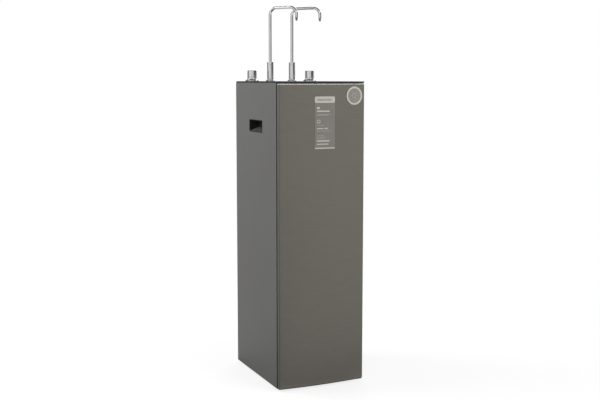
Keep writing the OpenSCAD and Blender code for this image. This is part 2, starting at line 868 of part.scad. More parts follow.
module door_skin() {
    color(grey_paint) translate([0, 0, z_door + core_toe])
        linear_extrude(z_door_top - trim_h - z_door - core_toe) skin_section();
}

module door_top_trim() {
    color(chrome) translate([0, 0, z_door_top - trim_h]) linear_extrude(trim_h) skin_section();
}

// Thin sheet lying on the bowed face
module face_sheet(t) {
    difference() {
        bow_disc(-glue - t);
        bow_disc(-glue);
    }
}

module label_plate() {
    color(label_grey) translate([0, 0, body_h - label_drop - label_h]) linear_extrude(label_h)
        intersection() {
            face_sheet(label_t);
            translate([label_x - label_w / 2, y_skin - 2 * door_bow]) square([label_w, 2 * door_bow]);
        }
}

module round_badge() {
    color(label_grey) intersection() {
        translate([0, 0, body_h - badge_drop - badge_r - past]) linear_extrude(2 * (badge_r + past))
            intersection() {
                face_sheet(badge_t);
                translate([badge_x - badge_r - past, y_skin - 2 * door_bow])
                    square([2 * (badge_r + past), 3 * door_bow]);
            }
        translate([badge_x, y_skin + 2 * door_bow, body_h - badge_drop]) rotate([quarter, 0, 0])
            cylinder(h = 4 * door_bow, r = badge_r);
    }
}

module catch_strike() {
    color(steel) box_at([catch_x, y_door - strike_t, catch_z - catch_h / 2],
        [catch_x + catch_w, y_door, catch_z + catch_h / 2]);
}

module catch_magnet() {
    face_y = y_door + strike_gap;
    color(black_plastic) {
        box_at([-x_in + post_t, y_front + post_t, catch_z - catch_h / 2],
            [catch_x + catch_w, y_front + post_t + catch_d, catch_z + catch_h / 2]);
        box_at([catch_x, face_y, catch_z - catch_h / 2],
            [catch_x + catch_w, y_front + post_t + past, catch_z + catch_h / 2]);
    }
}

module hinge_brackets() {
    color(steel) for (z = [foot_h - bracket_t, z_frame]) difference() {
        box_at([hinge_x - 2 * bracket_reach, hinge_y - bracket_reach, z],
            [min(x_in, hinge_x + bracket_reach), y_front + bracket_back, z + bracket_t]);
        translate([hinge_x, hinge_y, z - past]) cylinder(h = bracket_t + 2 * past, r = pin_r + fit);
    }
}

module hinge_pins() {
    color(steel) {
        translate([hinge_x, hinge_y, foot_h - bracket_t])
            cylinder(h = bracket_t + hinge_gap + pin_depth, r = pin_r);
        translate([hinge_x, hinge_y, z_door_top - pin_depth])
            cylinder(h = pin_depth + hinge_gap + bracket_t, r = pin_r);
    }
}

module hinge_bushes() {
    bush_h = pin_depth + past - glue;
    color(white_plastic) for (z = [z_door, z_door_top - bush_h])
        translate([hinge_x, hinge_y, z]) difference() {
            cylinder(h = bush_h, r = bush_r);
            translate([0, 0, -past]) cylinder(h = bush_h + 2 * past, r = pin_r + fit);
        }
}

// Taps and knobs
module tap_bodies() {
    flare = tap_flange_r - tap_r;
    color(chrome) for (a = sides) translate([a * tap_x, row_y, body_h]) difference() {
        union() {
            rotate_extrude() {
                intersection() {
                    half_round(tap_r, tap_h, tap_edge_r);
                    square([tap_r, tap_h]);
                }
                square([tap_r, tap_h / 2]);
                square([tap_flange_r, tap_flange_t]);
                difference() {
                    translate([tap_r - past, tap_flange_t - past]) square([flare + past, flare + past]);
                    translate([tap_flange_r, tap_flange_t + flare]) circle(flare);
                }
            }
            translate([0, 0, -top_t - stem_len]) cylinder(h = top_t + stem_len + past, r = stem_r);
        }
        translate([0, 0, tap_h - spout_depth]) cylinder(h = spout_depth + past, r = spout_r + fit);
        translate([0, 0, -top_t - stem_len - past])
            cylinder(h = top_t + stem_len + tap_h - spout_depth + 2 * past, r = stem_bore_r);
    }
}

module tap_lock_nuts() {
    color(brass) for (a = sides) translate([a * tap_x, row_y, z_under - nut_t]) difference() {
        cylinder(h = nut_t, r = nut_r, $fn = nut_sides);
        translate([0, 0, -past]) cylinder(h = nut_t + 2 * past, r = stem_r + fit);
    }
}

// Gooseneck tube over its own barrel, turned about the barrel from straight ahead
module spout(x, turn) {
    path = [[0, 0, z_bore + fit], [0, 0, z_run], [0, -spout_reach, z_run], [0, -spout_reach, z_mouth]];
    bore = [[0, 0, z_bore + fit - past], [0, 0, z_run], [0, -spout_reach, z_run],
        [0, -spout_reach, z_mouth - past]];
    color(chrome) translate([x, row_y, 0]) rotate([0, 0, turn]) difference() {
        tube_run(path, spout_bend, spout_r);
        tube_run(bore, spout_bend, spout_bore_r);
    }
}

module spout_tip(x, turn) {
    color(black_plastic) translate([x, row_y, 0]) rotate([0, 0, turn]) translate([0, -spout_reach, z_tip])
        difference() {
            union() {
                cylinder(h = tip_h, r1 = tip_end_r, r2 = spout_r);
                translate([0, 0, tip_h - past]) cylinder(h = tip_grip + past, r = spout_bore_r - fit);
            }
            translate([0, 0, -past]) cylinder(h = tip_h + tip_grip + 2 * past, r = tip_bore_r);
        }
}

module left_spout() {
    spout(-tap_x, left_turn);
}

module right_spout() {
    spout(tap_x, right_turn);
}

module left_spout_tip() {
    spout_tip(-tap_x, left_turn);
}

module right_spout_tip() {
    spout_tip(tap_x, right_turn);
}

module knob(x) {
    tall = body_h + knob_h - z_knob;
    color(chrome) translate([x, row_y, z_knob]) difference() {
        rotate_extrude() intersection() {
            union() {
                half_round(knob_r, tall, knob_edge_r);
                square([knob_r, tall / 2]);
            }
            square([knob_r, tall]);
        }
        translate([0, 0, -past]) cylinder(h = spindle_in_knob + past + glue, r = spindle_r + fit);
    }
}

module left_knob() {
    knob(-knob_x);
}

module right_knob() {
    knob(knob_x);
}

module knob_skirts() {
    flare = skirt_r - knob_r;
    color(chrome) for (a = sides) translate([a * knob_x, row_y, body_h]) difference() {
        rotate_extrude() {
            square([knob_r, skirt_h]);
            square([skirt_r, skirt_rim]);
            difference() {
                translate([knob_r - past, skirt_rim - past])
                    square([flare + past, skirt_h - skirt_rim + past]);
                translate([skirt_r, skirt_rim + flare]) circle(flare);
                translate([knob_r, skirt_rim + flare]) square([flare, skirt_h]);
            }
        }
        translate([0, 0, -past]) cylinder(h = neck_h + past + glue, r = neck_r + fit);
        translate([0, 0, -past]) cylinder(h = skirt_h + 2 * past, r = spindle_r + 4 * fit);
    }
}

module spindle(x) {
    color(brass) translate([x, row_y, z_under - spindle_in_valve + glue])
        cylinder(h = spindle_in_valve - glue + z_knob - z_under + spindle_in_knob, r = spindle_r);
}

module left_spindle() {
    spindle(-knob_x);
}

module right_spindle() {
    spindle(knob_x);
}

module valve_bodies() {
    color(white_plastic) for (a = sides) translate([a * knob_x, row_y, 0]) difference() {
        union() {
            translate([0, 0, z_valve]) cylinder(h = valve_len, r = valve_r);
            translate([0, 0, z_under - past]) cylinder(h = top_t + neck_h + past, r = neck_r);
            translate([0, 0, z_valve - port_len]) cylinder(h = port_len + past, r = port_r);
            translate([0, 0, valve_port_z]) rotate([0, -a * quarter, 0])
                cylinder(h = valve_r + port_len, r = port_r);
        }
        translate([0, 0, z_under - spindle_in_valve]) cylinder(h = valve_len, r = spindle_r + fit);
    }
}

module tap_tubes() {
    color(white_plastic) for (a = sides)
        tube_run([[a * tap_x, row_y, z_under - stem_len], [a * tap_x, row_y, valve_port_z],
            [a * valve_port_x, row_y, valve_port_z]], tube_bend, tube_r);
}

// Filters in the front bay
module pre_filter_head() {
    color(white_plastic) {
        box_at([-riser_x - port_r - past, y_plate - head_d, z_head],
            [riser_x + port_r + past, y_plate, z_head + head_h]);
        for (a = [-1, 0, 1]) translate([a * pre_pitch, pre_y, z_pre])
            cylinder(h = collar_h + past, r = pre_r + collar_lip);
        for (a = sides) translate([a * riser_x, riser_y, z_head - port_len])
            cylinder(h = port_len + past, r = port_r);
    }
}

module pre_cartridge(x) {
    translate([x, pre_y, z_pre - pre_len]) rotate_extrude() {
        intersection() {
            half_round(pre_r, pre_len, pre_edge_r);
            square([pre_r, pre_len]);
        }
        translate([0, pre_len / 2]) square([pre_r, pre_len / 2]);
    }
}

module sediment_cartridge() {
    color(white_plastic) pre_cartridge(-pre_pitch);
}

module carbon_cartridge() {
    color(white_plastic) pre_cartridge(0);
}

module polishing_cartridge() {
    color(white_plastic) pre_cartridge(pre_pitch);
}

module post_filter_head() {
    color(white_plastic) {
        box_at([-post_half, post_y - post_r - collar_lip, z_post_head],
            [post_half, y_plate, z_post_head + post_head_h]);
        for (x = [-post_port_x, 0, post_port_x]) translate([x, y_port, z_post_port]) rotate([quarter, 0, 0])
            cylinder(h = y_port - y_plate + past, r = port_r);
    }
}

module post_filter_cartridges() {
    color(white_plastic) for (i = [-1.5 : 1 : 1.5])
        translate([i * post_pitch, post_y, z_post_head - post_len]) cylinder(h = post_len, r = post_r);
}

module membrane_housing() {
    color(white_plastic) {
        rod([-mem_half, mem_y, mem_z], [mem_half, mem_y, mem_z], mem_r);
        for (a = sides) {
            rod([a * (mem_half - mem_cap), mem_y, mem_z], [a * mem_half, mem_y, mem_z], mem_cap_r);
            rod([a * mem_port_x, mem_y, mem_z], [a * mem_port_x, y_port, mem_z], port_r);
        }
        rod([mem_port_x, mem_y, mem_z], [mem_port_x, mem_y, mem_z - mem_cap_r - port_len], port_r);
    }
}

module membrane_clips() {
    color(blue_plastic) for (a = sides) difference() {
        union() {
            rod([a * clip_x - clip_w / 2, mem_y, mem_z], [a * clip_x + clip_w / 2, mem_y, mem_z], clip_r);
            box_at([a * clip_x - clip_w / 2, mem_y, mem_z - clip_block / 2],
                [a * clip_x + clip_w / 2, y_plate, mem_z + clip_block / 2]);
        }
        rod([a * clip_x - clip_w, mem_y, mem_z], [a * clip_x + clip_w, mem_y, mem_z], mem_r + fit);
    }
}

// Pump and electrics
module pump_head() {
    color(black_plastic) {
        box_at([pump_x, mem_y - pump_d / 2, z_pump],
            [pump_x + pump_w, mem_y + pump_d / 2, z_pump + pump_head_h]);
        box_at([pump_x - motor_len / 2, mem_y - pump_foot_w / 2, z_floor],
            [pump_x + pump_w, mem_y + pump_foot_w / 2, z_pump]);
        for (p = [[riser_x, riser_y], [mem_port_x, mem_y]])
            rod([p[0], p[1], z_pump], [p[0], p[1], z_pump_port], port_r);
    }
}

module pump_motor() {
    color(steel) rod([pump_x - motor_len, mem_y, motor_z], [pump_x, mem_y, motor_z], motor_r);
}

module power_supply() {
    color(black_plastic) box_at([-x_in + psu_inset, y_plate - psu_gap - psu_d, z_floor],
        [-x_in + psu_inset + psu_w, y_plate - psu_gap, z_floor + psu_h]);
}

module control_box() {
    color(white_plastic) difference() {
        box_at([ctrl_x, ctrl_y, z_shelf_top], [ctrl_x + ctrl_w, ctrl_y + ctrl_d, z_shelf_top + ctrl_h]);
        box_at([ctrl_x + ctrl_wall, ctrl_y + ctrl_wall, z_shelf_top + ctrl_wall],
            [ctrl_x + ctrl_w - ctrl_wall, ctrl_y + ctrl_d - ctrl_wall, z_shelf_top + ctrl_h - ctrl_wall]);
    }
}

module solenoid_valve() {
    color(white_plastic) {
        box_at([-riser_x - sol_w / 2, y_solenoid, z_inlet - sol_h / 2],
            [-riser_x + sol_w / 2, y_solenoid + sol_len, z_inlet + sol_h / 2]);
        rod([-riser_x, y_coil, z_inlet], [-riser_x, y_coil, z_inlet + sol_h / 2 + coil_h], sol_w / 2 - past);
        rod([-riser_x, y_solenoid - port_len, z_inlet],
            [-riser_x, y_solenoid + sol_len + port_len, z_inlet], port_r);
    }
}

// Tanks in the rear bay
module storage_tank() {
    color(white_plastic) translate([0, tank_y, z_tank]) {
        difference() {
            vessel(tank_r, tank_h, tank_edge_r);
            translate([0, 0, tank_wall])
                vessel(tank_r - tank_wall, tank_h - 2 * tank_wall, tank_edge_r - tank_wall);
        }
        translate([0, 0, tank_h - tank_wall / 2]) cylinder(h = boss_h + tank_wall / 2, r = boss_r);
    }
}

module tank_stand() {
    color(black_plastic) difference() {
        translate([0, tank_y, z_floor]) cylinder(h = stand_h + stand_reach, r = stand_r);
        translate([0, tank_y, z_floor - past])
            cylinder(h = stand_h + stand_reach + 2 * past, r = stand_r - stand_wall);
        translate([0, tank_y, z_tank - glue]) vessel(tank_r + glue, tank_h, tank_edge_r + glue);
    }
}

module tank_valve() {
    reach = tank_valve_r + port_len;
    color(blue_plastic) difference() {
        union() {
            translate([0, tank_y, z_tank_valve]) cylinder(h = tank_valve_h, r = tank_valve_r);
            rod([0, tank_y, tank_port_z], [-reach, tank_y, tank_port_z], port_r);
            rod([0, tank_y, tank_port_z], [0, tank_y - reach, tank_port_z], port_r);
        }
        translate([0, tank_y, z_lever - lever_gap - lever_pin_len])
            cylinder(h = lever_pin_len + past, r = lever_pin_r + fit);
    }
}

module tank_valve_lever() {
    color(blue_plastic) translate([0, tank_y, z_lever]) {
        cylinder(h = lever_t, r = lever_w / 2);
        translate([0, -lever_w / 2, 0]) cube([lever_len - lever_w / 2, lever_w, lever_t]);
        translate([lever_len - lever_w / 2, 0, 0]) cylinder(h = lever_t, r = lever_w / 2);
        translate([0, 0, -lever_gap - lever_pin_len + glue])
            cylinder(h = lever_gap + lever_pin_len - glue + past, r = lever_pin_r);
    }
}

module hot_tank() {
    color(steel) translate([-hot_x, hot_y, z_hot]) {
        difference() {
            vessel(hot_r, hot_h, hot_edge_r);
            translate([0, 0, hot_wall]) vessel(hot_r - hot_wall, hot_h - 2 * hot_wall, hot_edge_r - hot_wall);
        }
        for (y = [0, -hot_inlet_off])
            translate([0, y, hot_h - hot_wall / 2]) cylinder(h = port_len + hot_wall / 2, r = port_r);
    }
}

module hot_tank_jacket() {
    color(foam) translate([-hot_x, hot_y, z_hot]) difference() {
        cylinder(h = hot_h - hot_edge_r, r = hot_r + jacket_t);
        translate([0, 0, -past]) cylinder(h = hot_h, r = hot_r + glue);
    }
}

// Rear panel
module bulkhead(x, z, out, bore_r, bore_len) {
    color(black_plastic) difference() {
        union() {
            rod([x, y_fitting, z], [x, y_panel + out, z], fitting_r);
            rod([x, y_panel, z], [x, y_panel + flange_t, z], flange_r);
            rod([x, y_panel_in - flange_t, z], [x, y_panel_in, z], flange_r);
        }
        rod([x, y_panel + out - bore_len, z], [x, y_panel + out + past, z], bore_r);
    }
}

module rear_fittings() {
    gland_len = y_panel + gland_out - y_fitting + past;
    bulkhead(-riser_x, z_inlet, fitting_out, fitting_bore_r, fitting_bore_len);
    bulkhead(mem_port_x, z_drain, fitting_out, fitting_bore_r, fitting_bore_len);
    bulkhead(gland_x, z_gland, gland_out, gland_bore_r, gland_len);
}

module heater_switch() {
    color(black_plastic) translate([switch_x, y_panel, z_switch]) difference() {
        union() {
            box_at([-rocker_side / 2 - switch_wall, -switch_depth, -rocker_room / 2 - switch_wall],
                [rocker_side / 2 + switch_wall, past, rocker_room / 2 + switch_wall]);
            box_at([-rocker_side / 2 - 2 * switch_wall, 0, -rocker_room / 2 - 2 * switch_wall],
                [rocker_side / 2 + 2 * switch_wall, 2 * past, rocker_room / 2 + 2 * switch_wall]);
        }
        box_at([-rocker_side / 2, switch_wall - switch_depth, -rocker_room / 2],
            [rocker_side / 2, 3 * past, rocker_room / 2]);
        rod([-axle_half - glue, 0, 0], [axle_half + glue, 0, 0], axle_r + fit);
    }
}

module heater_rocker() {
    color(black_gloss) translate([switch_x, y_panel, z_switch]) rotate([-rocker_tilt, 0, 0]) {
        box_at([-rocker_w / 2, -rocker_t / 2, -rocker_h / 2], [rocker_w / 2, rocker_t / 2, rocker_h / 2]);
        rod([-axle_half, 0, 0], [axle_half, 0, 0], axle_r);
    }
}

// Water tubes
module cold_tubes() {
    color(white_plastic) {
        rod([-riser_x, y_solenoid + sol_len + port_len, z_inlet], [-riser_x, y_fitting, z_inlet], tube_r);
        tube_run([[-riser_x, y_solenoid - port_len, z_inlet], [-riser_x, riser_y, z_inlet],
            [-riser_x, riser_y, z_head - port_len]], tube_bend, tube_r);
        rod([riser_x, riser_y, z_pump_port], [riser_x, riser_y, z_head - port_len], tube_r);
        rod([mem_port_x, mem_y, z_pump_port], [mem_port_x, mem_y, mem_z - mem_cap_r - port_len], tube_r);
        tube_run([[-mem_port_x, y_port, mem_z], [-mem_port_x, lane_y, mem_z],
            [-mem_port_x, lane_y, tank_port_z], [-mem_port_x, tank_y, tank_port_z],
            [-tank_valve_r - port_len, tank_y, tank_port_z]], tube_bend, tube_r);
        tube_run([[mem_port_x, y_port, mem_z], [mem_port_x, lane_y, mem_z], [mem_port_x, lane_y, z_drain],
            [mem_port_x, y_fitting, z_drain]], tube_bend, tube_r);
        tube_run([[0, tank_y - tank_valve_r - port_len, tank_port_z], [0, lane_y, tank_port_z],
            [0, lane_y, z_post_port], [0, y_port, z_post_port]], tube_bend, tube_r);
        tube_run([[post_port_x, y_port, z_post_port], [post_port_x, lane_y, z_post_port],
            [post_port_x, lane_y, z_cross], [post_port_x, row_y, z_cross], [knob_x, row_y, z_cross],
            [knob_x, row_y, z_valve - port_len]], tube_bend, tube_r);
    }
}

module hot_tubes() {
    color(white_plastic) {
        tube_run([[-post_port_x, y_port, z_post_port], [-post_port_x, lane_y, z_post_port],
            [-post_port_x, lane_y, hot_cross_z], [-post_port_x, hot_y - hot_inlet_off, hot_cross_z],
            [-post_port_x, hot_y - hot_inlet_off, z_hot_port]], tube_bend, tube_r);
        tube_run([[-hot_x, hot_y, z_hot_port], [-hot_x, hot_y, z_cross], [-hot_x, row_y, z_cross],
            [-knob_x, row_y, z_cross], [-knob_x, row_y, z_valve - port_len]], tube_bend, tube_r);
    }
}

base_plate();
feet();
left_side_panel();
right_side_panel();
back_panel();
back_panel_screws();
top_plate();
corner_posts();
top_rails();
filter_mounting_plate();
tank_shelf();
left_handle_pocket();
right_handle_pocket();
door_core();
door_skin();
door_top_trim();
label_plate();
round_badge();
catch_strike();
catch_magnet();
hinge_brackets();
hinge_pins();
hinge_bushes();
tap_bodies();
tap_lock_nuts();
left_spout();
right_spout();
left_spout_tip();
right_spout_tip();
left_knob();
right_knob();
knob_skirts();
left_spindle();
right_spindle();
valve_bodies();
tap_tubes();
pre_filter_head();
sediment_cartridge();
carbon_cartridge();
polishing_cartridge();
post_filter_head();
post_filter_cartridges();
membrane_housing();
membrane_clips();
pump_head();
pump_motor();
power_supply();
storage_tank();
tank_stand();
tank_valve();
tank_valve_lever();
hot_tank();
hot_tank_jacket();
control_box();
solenoid_valve();
rear_fittings();
cold_tubes();
hot_tubes();
heater_switch();
heater_rocker();
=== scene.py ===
"""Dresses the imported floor-standing water purifier: finishes, fine shapes, studio and camera."""
import json
import logging
import math
from dataclasses import dataclass, field
from enum import Enum
from itertools import product

import bmesh
import bpy
from mathutils import Matrix, Vector


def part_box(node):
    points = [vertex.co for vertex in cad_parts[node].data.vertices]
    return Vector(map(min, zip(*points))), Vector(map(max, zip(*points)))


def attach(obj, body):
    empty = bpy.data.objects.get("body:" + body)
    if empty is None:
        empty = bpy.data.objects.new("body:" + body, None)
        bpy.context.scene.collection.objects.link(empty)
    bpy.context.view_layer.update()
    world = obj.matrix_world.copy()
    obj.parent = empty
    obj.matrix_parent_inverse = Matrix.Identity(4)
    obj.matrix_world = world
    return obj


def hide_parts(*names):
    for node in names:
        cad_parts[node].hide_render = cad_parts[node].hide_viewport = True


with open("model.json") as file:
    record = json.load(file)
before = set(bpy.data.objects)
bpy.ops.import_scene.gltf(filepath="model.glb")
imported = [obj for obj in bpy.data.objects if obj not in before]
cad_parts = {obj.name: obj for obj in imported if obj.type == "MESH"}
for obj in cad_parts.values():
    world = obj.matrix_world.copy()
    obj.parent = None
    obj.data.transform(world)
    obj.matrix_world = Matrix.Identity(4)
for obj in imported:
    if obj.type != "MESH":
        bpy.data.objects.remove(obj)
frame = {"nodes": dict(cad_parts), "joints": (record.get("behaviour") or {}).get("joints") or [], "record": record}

log = logging.getLogger("purifier")
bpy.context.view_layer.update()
MM = 0.001
FULL_TURN = 2.0 * math.pi
# Pieces of a quarter turn in a plate's corner, in a fold and in a flare.
CORNER_STEPS = 5
FOLD_STEPS = 6
FLARE_STEPS = 8
# A point in a plane, a point in space, and two or three sizes that belong together.
Flat = tuple[float, float]
Spot = tuple[float, float, float]
Pair = tuple[float, float]
Triple = tuple[float, float, float]
Box = tuple[Spot, Spot]
Loop = list[Flat]
Colour = tuple[float, float, float, float]
Source = bpy.types.NodeSocket | Colour | Spot | float
Tree = bpy.types.NodeTree
# Directions in the shared frame.
FRONT: Spot = (0, -1, 0)
BACK: Spot = (0, 1, 0)
ACROSS: Spot = (1, 0, 0)
DOWN: Spot = (0, 0, -1)


def linear(colour: str) -> Colour:
    """Turns an sRGB hex colour into linear light.

    Args:
        colour: Six hex digits after a hash sign.

    Returns:
        Linear red, green, blue and an alpha of one.
    """
    parts = [int(colour[i:i + 2], 16) / 255.0 for i in (1, 3, 5)]
    red, green, blue = [p / 12.92 if p <= 0.04045 else ((p + 0.055) / 1.055) ** 2.4 for p in parts]
    return red, green, blue, 1.0


def feed(tree: Tree, node: bpy.types.Node, inputs: dict[str | int, Source]) -> None:
    """Links or sets inputs of a node.

    Args:
        tree: Node tree that holds the node.
        node: Node that takes the inputs.
        inputs: The socket that feeds an input, or its value, by the input's name or number.
    """
    for key, value in inputs.items():
        if isinstance(value, bpy.types.NodeSocket):
            tree.links.new(value, node.inputs[key])
        else:
            node.inputs[key].default_value = value


def add_node(tree: Tree, kind: str, settings: dict[str, str],
             inputs: dict[str | int, Source]) -> bpy.types.Node:
    """Adds a shader node with its settings and links.

    Args:
        tree: Node tree that takes the node.
        kind: Blender's type name of the node.
        settings: Choices by attribute name.
        inputs: The socket that feeds an input, or its value, by the input's name or number.

    Returns:
        The new node.
    """
    node = tree.nodes.new(kind)
    for key, value in settings.items():
        setattr(node, key, value)
    feed(tree, node, inputs)
    return node


class Slot(Enum):
    """Material slots of the record."""

    GREY_PAINT = "grey_paint"
    BLACK_GLOSS = "black_gloss"
    BLACK_PLASTIC = "black_plastic"
    RUBBER = "rubber"
    CHROME = "chrome"
    BRIGHT_TRIM = "bright_trim"
    STEEL = "steel"
    WHITE_PLASTIC = "white_plastic"
    TANK_PAINT = "tank_paint"
    TUBE_PLASTIC = "tube_plastic"
    BLUE_PLASTIC = "blue_plastic"
    BRASS = "brass"
    FOAM = "foam"
    LABEL_FILM = "label_film"


class Pattern(Enum):
    """Texture that a layer of a finish draws: the node's type and the output that is used."""

    CLOUD = ("ShaderNodeTexNoise", "Fac")
    CELL = ("ShaderNodeTexVoronoi", "Color")


CLOUD, CELL = Pattern.CLOUD, Pattern.CELL


@dataclass(frozen=True)
class Layer:
    """One pattern in a finish, with its grain in millimetres along X, Y and Z."""

    pattern: Pattern
    grain: Spot
    tint: str = ""
    amount: float = 0.0
    dulling: float = 0.0
    relief: float = 0.0
    span: Pair = (0.3, 0.7)

    def draw(self, tree: Tree, place: bpy.types.NodeSocket) -> bpy.types.NodeSocket:
        """Draws the pattern.

        Args:
            tree: Node tree of the finish.
            place: Coordinates in metres.

        Returns:
            The pattern's strength, from zero to one.
        """
        kind, output = self.pattern.value
        size = tuple(1.0 / (along * MM) for along in self.grain)
        spread = add_node(tree, "ShaderNodeMapping", {}, {"Vector": place, "Scale": size})
        drawn = add_node(tree, kind, {}, {"Vector": spread.outputs[0], "Scale": 1.0})
        low, high = self.span
        strength = add_node(tree, "ShaderNodeMapRange", {},
                            {"Value": drawn.outputs[output], "From Min": low, "From Max": high})
        return strength.outputs[0]


def mottle(size: float, tint: str, amount: float = 0.6, dulling: float = 0.0) -> Layer:
    """Gives soft patches of another tint, of a size in millimetres."""
    return Layer(CLOUD, (size, size, size), tint, amount, dulling)


def grain(size: float, dulling: float, relief: float) -> Layer:
    """Gives an even grain of a size in millimetres, which dulls the surface and stands up from it."""
    return Layer(CLOUD, (size, size, size), dulling=dulling, relief=relief)


@dataclass(frozen=True)
class Finish:
    """What a surface is made of, how it was made, and the record's slot that it stands for."""

    name: str
    slot: Slot
    colour: str
    roughness: float
    metallic: float = 0.0
    ior: float = 1.5
    depth: float = 0.0
    depth_share: float = 0.35
    layers: tuple[Layer, ...] = ()

    def material(self) -> bpy.types.Material:
        """Gives the Blender material, which is made at its first use."""
        made = bpy.data.materials.get(self.name)
        return made if made else self._make()

    def _make(self) -> bpy.types.Material:
        """Draws the node tree of the finish.

        Returns:
            The new material.
        """
        made = bpy.data.materials.new(self.name)
        made.use_nodes = True
        tree = made.node_tree
        place = add_node(tree, "ShaderNodeTexCoord", {}, {}).outputs["Object"]
        inputs: dict[str, Source] = {"Base Color": linear(self.colour), "Roughness": self.roughness,
                                     "Metallic": self.metallic}
        if not self.metallic:
            inputs["IOR"] = self.ior
        if self.depth:
            inputs.update({"Subsurface Weight": self.depth_share, "Subsurface Scale": self.depth * MM})
        for layer in self.layers:
            strength = layer.draw(tree, place)
            if layer.amount:
                share = add_node(tree, "ShaderNodeMath", {"operation": "MULTIPLY"},
                                 {0: strength, 1: layer.amount})
                mix = add_node(tree, "ShaderNodeMix", {"data_type": "RGBA"},
                               {0: share.outputs[0], 6: inputs["Base Color"], 7: linear(layer.tint)})
                inputs["Base Color"] = mix.outputs[2]
            if layer.dulling:
                step = add_node(tree, "ShaderNodeMath", {"operation": "MULTIPLY_ADD"},
                                {0: strength, 1: layer.dulling, 2: inputs["Roughness"]})
                inputs["Roughness"] = step.outputs[0]
            if layer.relief:
                bump = {"Height": strength, "Strength": 1.0, "Distance": layer.relief * MM}
                if "Normal" in inputs:
                    bump["Normal"] = inputs["Normal"]
                inputs["Normal"] = add_node(tree, "ShaderNodeBump", {}, bump).outputs[0]
        feed(tree, tree.nodes["Principled BSDF"], inputs)
        return made


# Steel sheet, sprayed and baked: an even satin grey with a soft orange peel of about 2 mm.
SIDE_PAINT = Finish("sprayed_grey_paint_on_steel", Slot.GREY_PAINT, "#6a6a68", 0.56,
                    layers=(mottle(420, "#646360", 0.55), grain(2.2, 0.05, 0.02)))
# Dark stainless sheet, ground along X: fine level hairlines 0.7 mm apart that soften what they mirror, and
# coarser dashes, drawn 2.6 mm high so that they show at the photograph's distance.
DOOR_STEEL = Finish("hairline_ground_dark_stainless_steel", Slot.GREY_PAINT, "#726f67", 0.46, 0.3, layers=(
    Layer(CLOUD, (380, 380, 520), "#6a6660", 0.5),
    Layer(CLOUD, (34, 34, 2.6), "#7f7b73", 0.30, span=(0.45, 0.75)),
    Layer(CLOUD, (90, 90, 0.7), "#64615b", 0.28, 0.08, 0.006)))
# Gloss ABS from a polished mould: deep black with a clear mirror and a few faint scuffs.
BLACK_GLOSS = Finish("gloss_moulded_black_abs", Slot.BLACK_GLOSS, "#1f1f20", 0.14,
                     layers=(mottle(160, "#272728", 0.6, 0.05), Layer(CLOUD, (9, 1.2, 9), dulling=0.06)))
# ABS from a spark-eroded mould: matt black with a grain of 0.7 mm that breaks up the light.
BLACK_ABS = Finish("spark_textured_black_abs", Slot.BLACK_PLASTIC, "#1d1d1d", 0.52,
                   layers=(mottle(110, "#262626"), grain(0.7, 0.12, 0.03)))
# ABS from an etched mould, matt: its black, deeper than that of the other black parts, is painted shade for the
# shadow deep in the handle pockets, and it gives hardly any light back.
POCKET_SHADE_ABS = Finish("etched_moulded_black_abs", Slot.BLACK_PLASTIC, "#060606", 0.72, ior=1.4,
                    layers=(mottle(60, "#0a0a0a"), grain(1.4, 0.06, 0.01)))
# Grey pad on the sloped floor of a handle pocket: its grey, lighter than the pocket round it, is painted light for
# the light that falls on that floor.
POCKET_LIGHT_PAD = Finish("overmoulded_grey_elastomer", Slot.BLACK_PLASTIC, "#3a3a39", 0.62,
                    layers=(mottle(24, "#323231"), grain(1.2, 0.08, 0.02)))
# ABS from a satin mould: a mid grey that reads darker than the chrome above it.
GREY_ABS = Finish("satin_moulded_grey_abs", Slot.BLACK_PLASTIC, "#908f8b", 0.38,
                  layers=(mottle(30, "#6a6a67"), grain(0.8, 0.08, 0.008)))
# Nitrile rubber, moulded: dull and slightly dusty.
RUBBER = Finish("moulded_nitrile_rubber", Slot.RUBBER, "#1a1a1a", 0.82,
                layers=(mottle(14, "#2b2a28", 0.5), grain(0.6, 0.1, 0.03)))
# Brass, polished and chrome plated: a bright mirror with faint wipe marks.
CHROME = Finish("polished_chrome_plate", Slot.CHROME, "#d2d3d4", 0.05, 1.0,
                layers=(mottle(30, "#c2c3c5", 0.5, 0.03), Layer(CLOUD, (3, 3, 16), dulling=0.03)))
# Aluminium strip, brushed along its length and clear anodised: a pale satin line.
TRIM = Finish("brushed_anodised_aluminium", Slot.BRIGHT_TRIM, "#c6c4bd", 0.40, 1.0,
              layers=(Layer(CLOUD, (60, 60, 0.5), "#b4b2ac", 0.5, 0.1, 0.004), mottle(120, "#bcbab3", 0.5)))
# Steel, hot-dip galvanised: grey crystals about 9 mm across.
ZINC = Finish("hot_dip_galvanised_steel", Slot.STEEL, "#a8abad", 0.40, 1.0, layers=(
    Layer(CELL, (9, 9, 9), "#8b8e91", 0.55, 0.12, span=(0.0, 1.0)), grain(0.6, 0.06, 0.004)))
# Steel, drawn, bright zinc plated: a soft metal with draw lines round it.
PLATED = Finish("bright_plated_drawn_steel", Slot.STEEL, "#b9bbbd", 0.28, 1.0,
                layers=(Layer(CLOUD, (0.8, 60, 60), "#a2a4a7", 0.4, 0.1, 0.004), mottle(35, "#a9abad", 0.4)))
# ABS, injection moulded: warm white, satin, hardly any grain.
WHITE_ABS = Finish("satin_moulded_white_abs", Slot.WHITE_PLASTIC, "#e0dfda", 0.36,
                   layers=(mottle(90, "#d6d4cd"), grain(0.9, 0.08, 0.008)))
# Steel sheet, powder coated white: a clear pebbled skin of 1.5 mm.
WHITE_POWDER = Finish("powder_coated_white_steel", Slot.TANK_PAINT, "#dcdcd8", 0.42,
                      layers=(mottle(200, "#d0cfca", 0.5), grain(1.5, 0.08, 0.04)))
# Polyethylene, extruded: milky, a little light goes in.
TUBE = Finish("extruded_milky_polyethylene", Slot.TUBE_PLASTIC, "#e6e6e0", 0.34, ior=1.51, depth=1.5,
              layers=(mottle(25, "#d9dad4"), Layer(CLOUD, (0.8, 0.8, 20), dulling=0.08)))
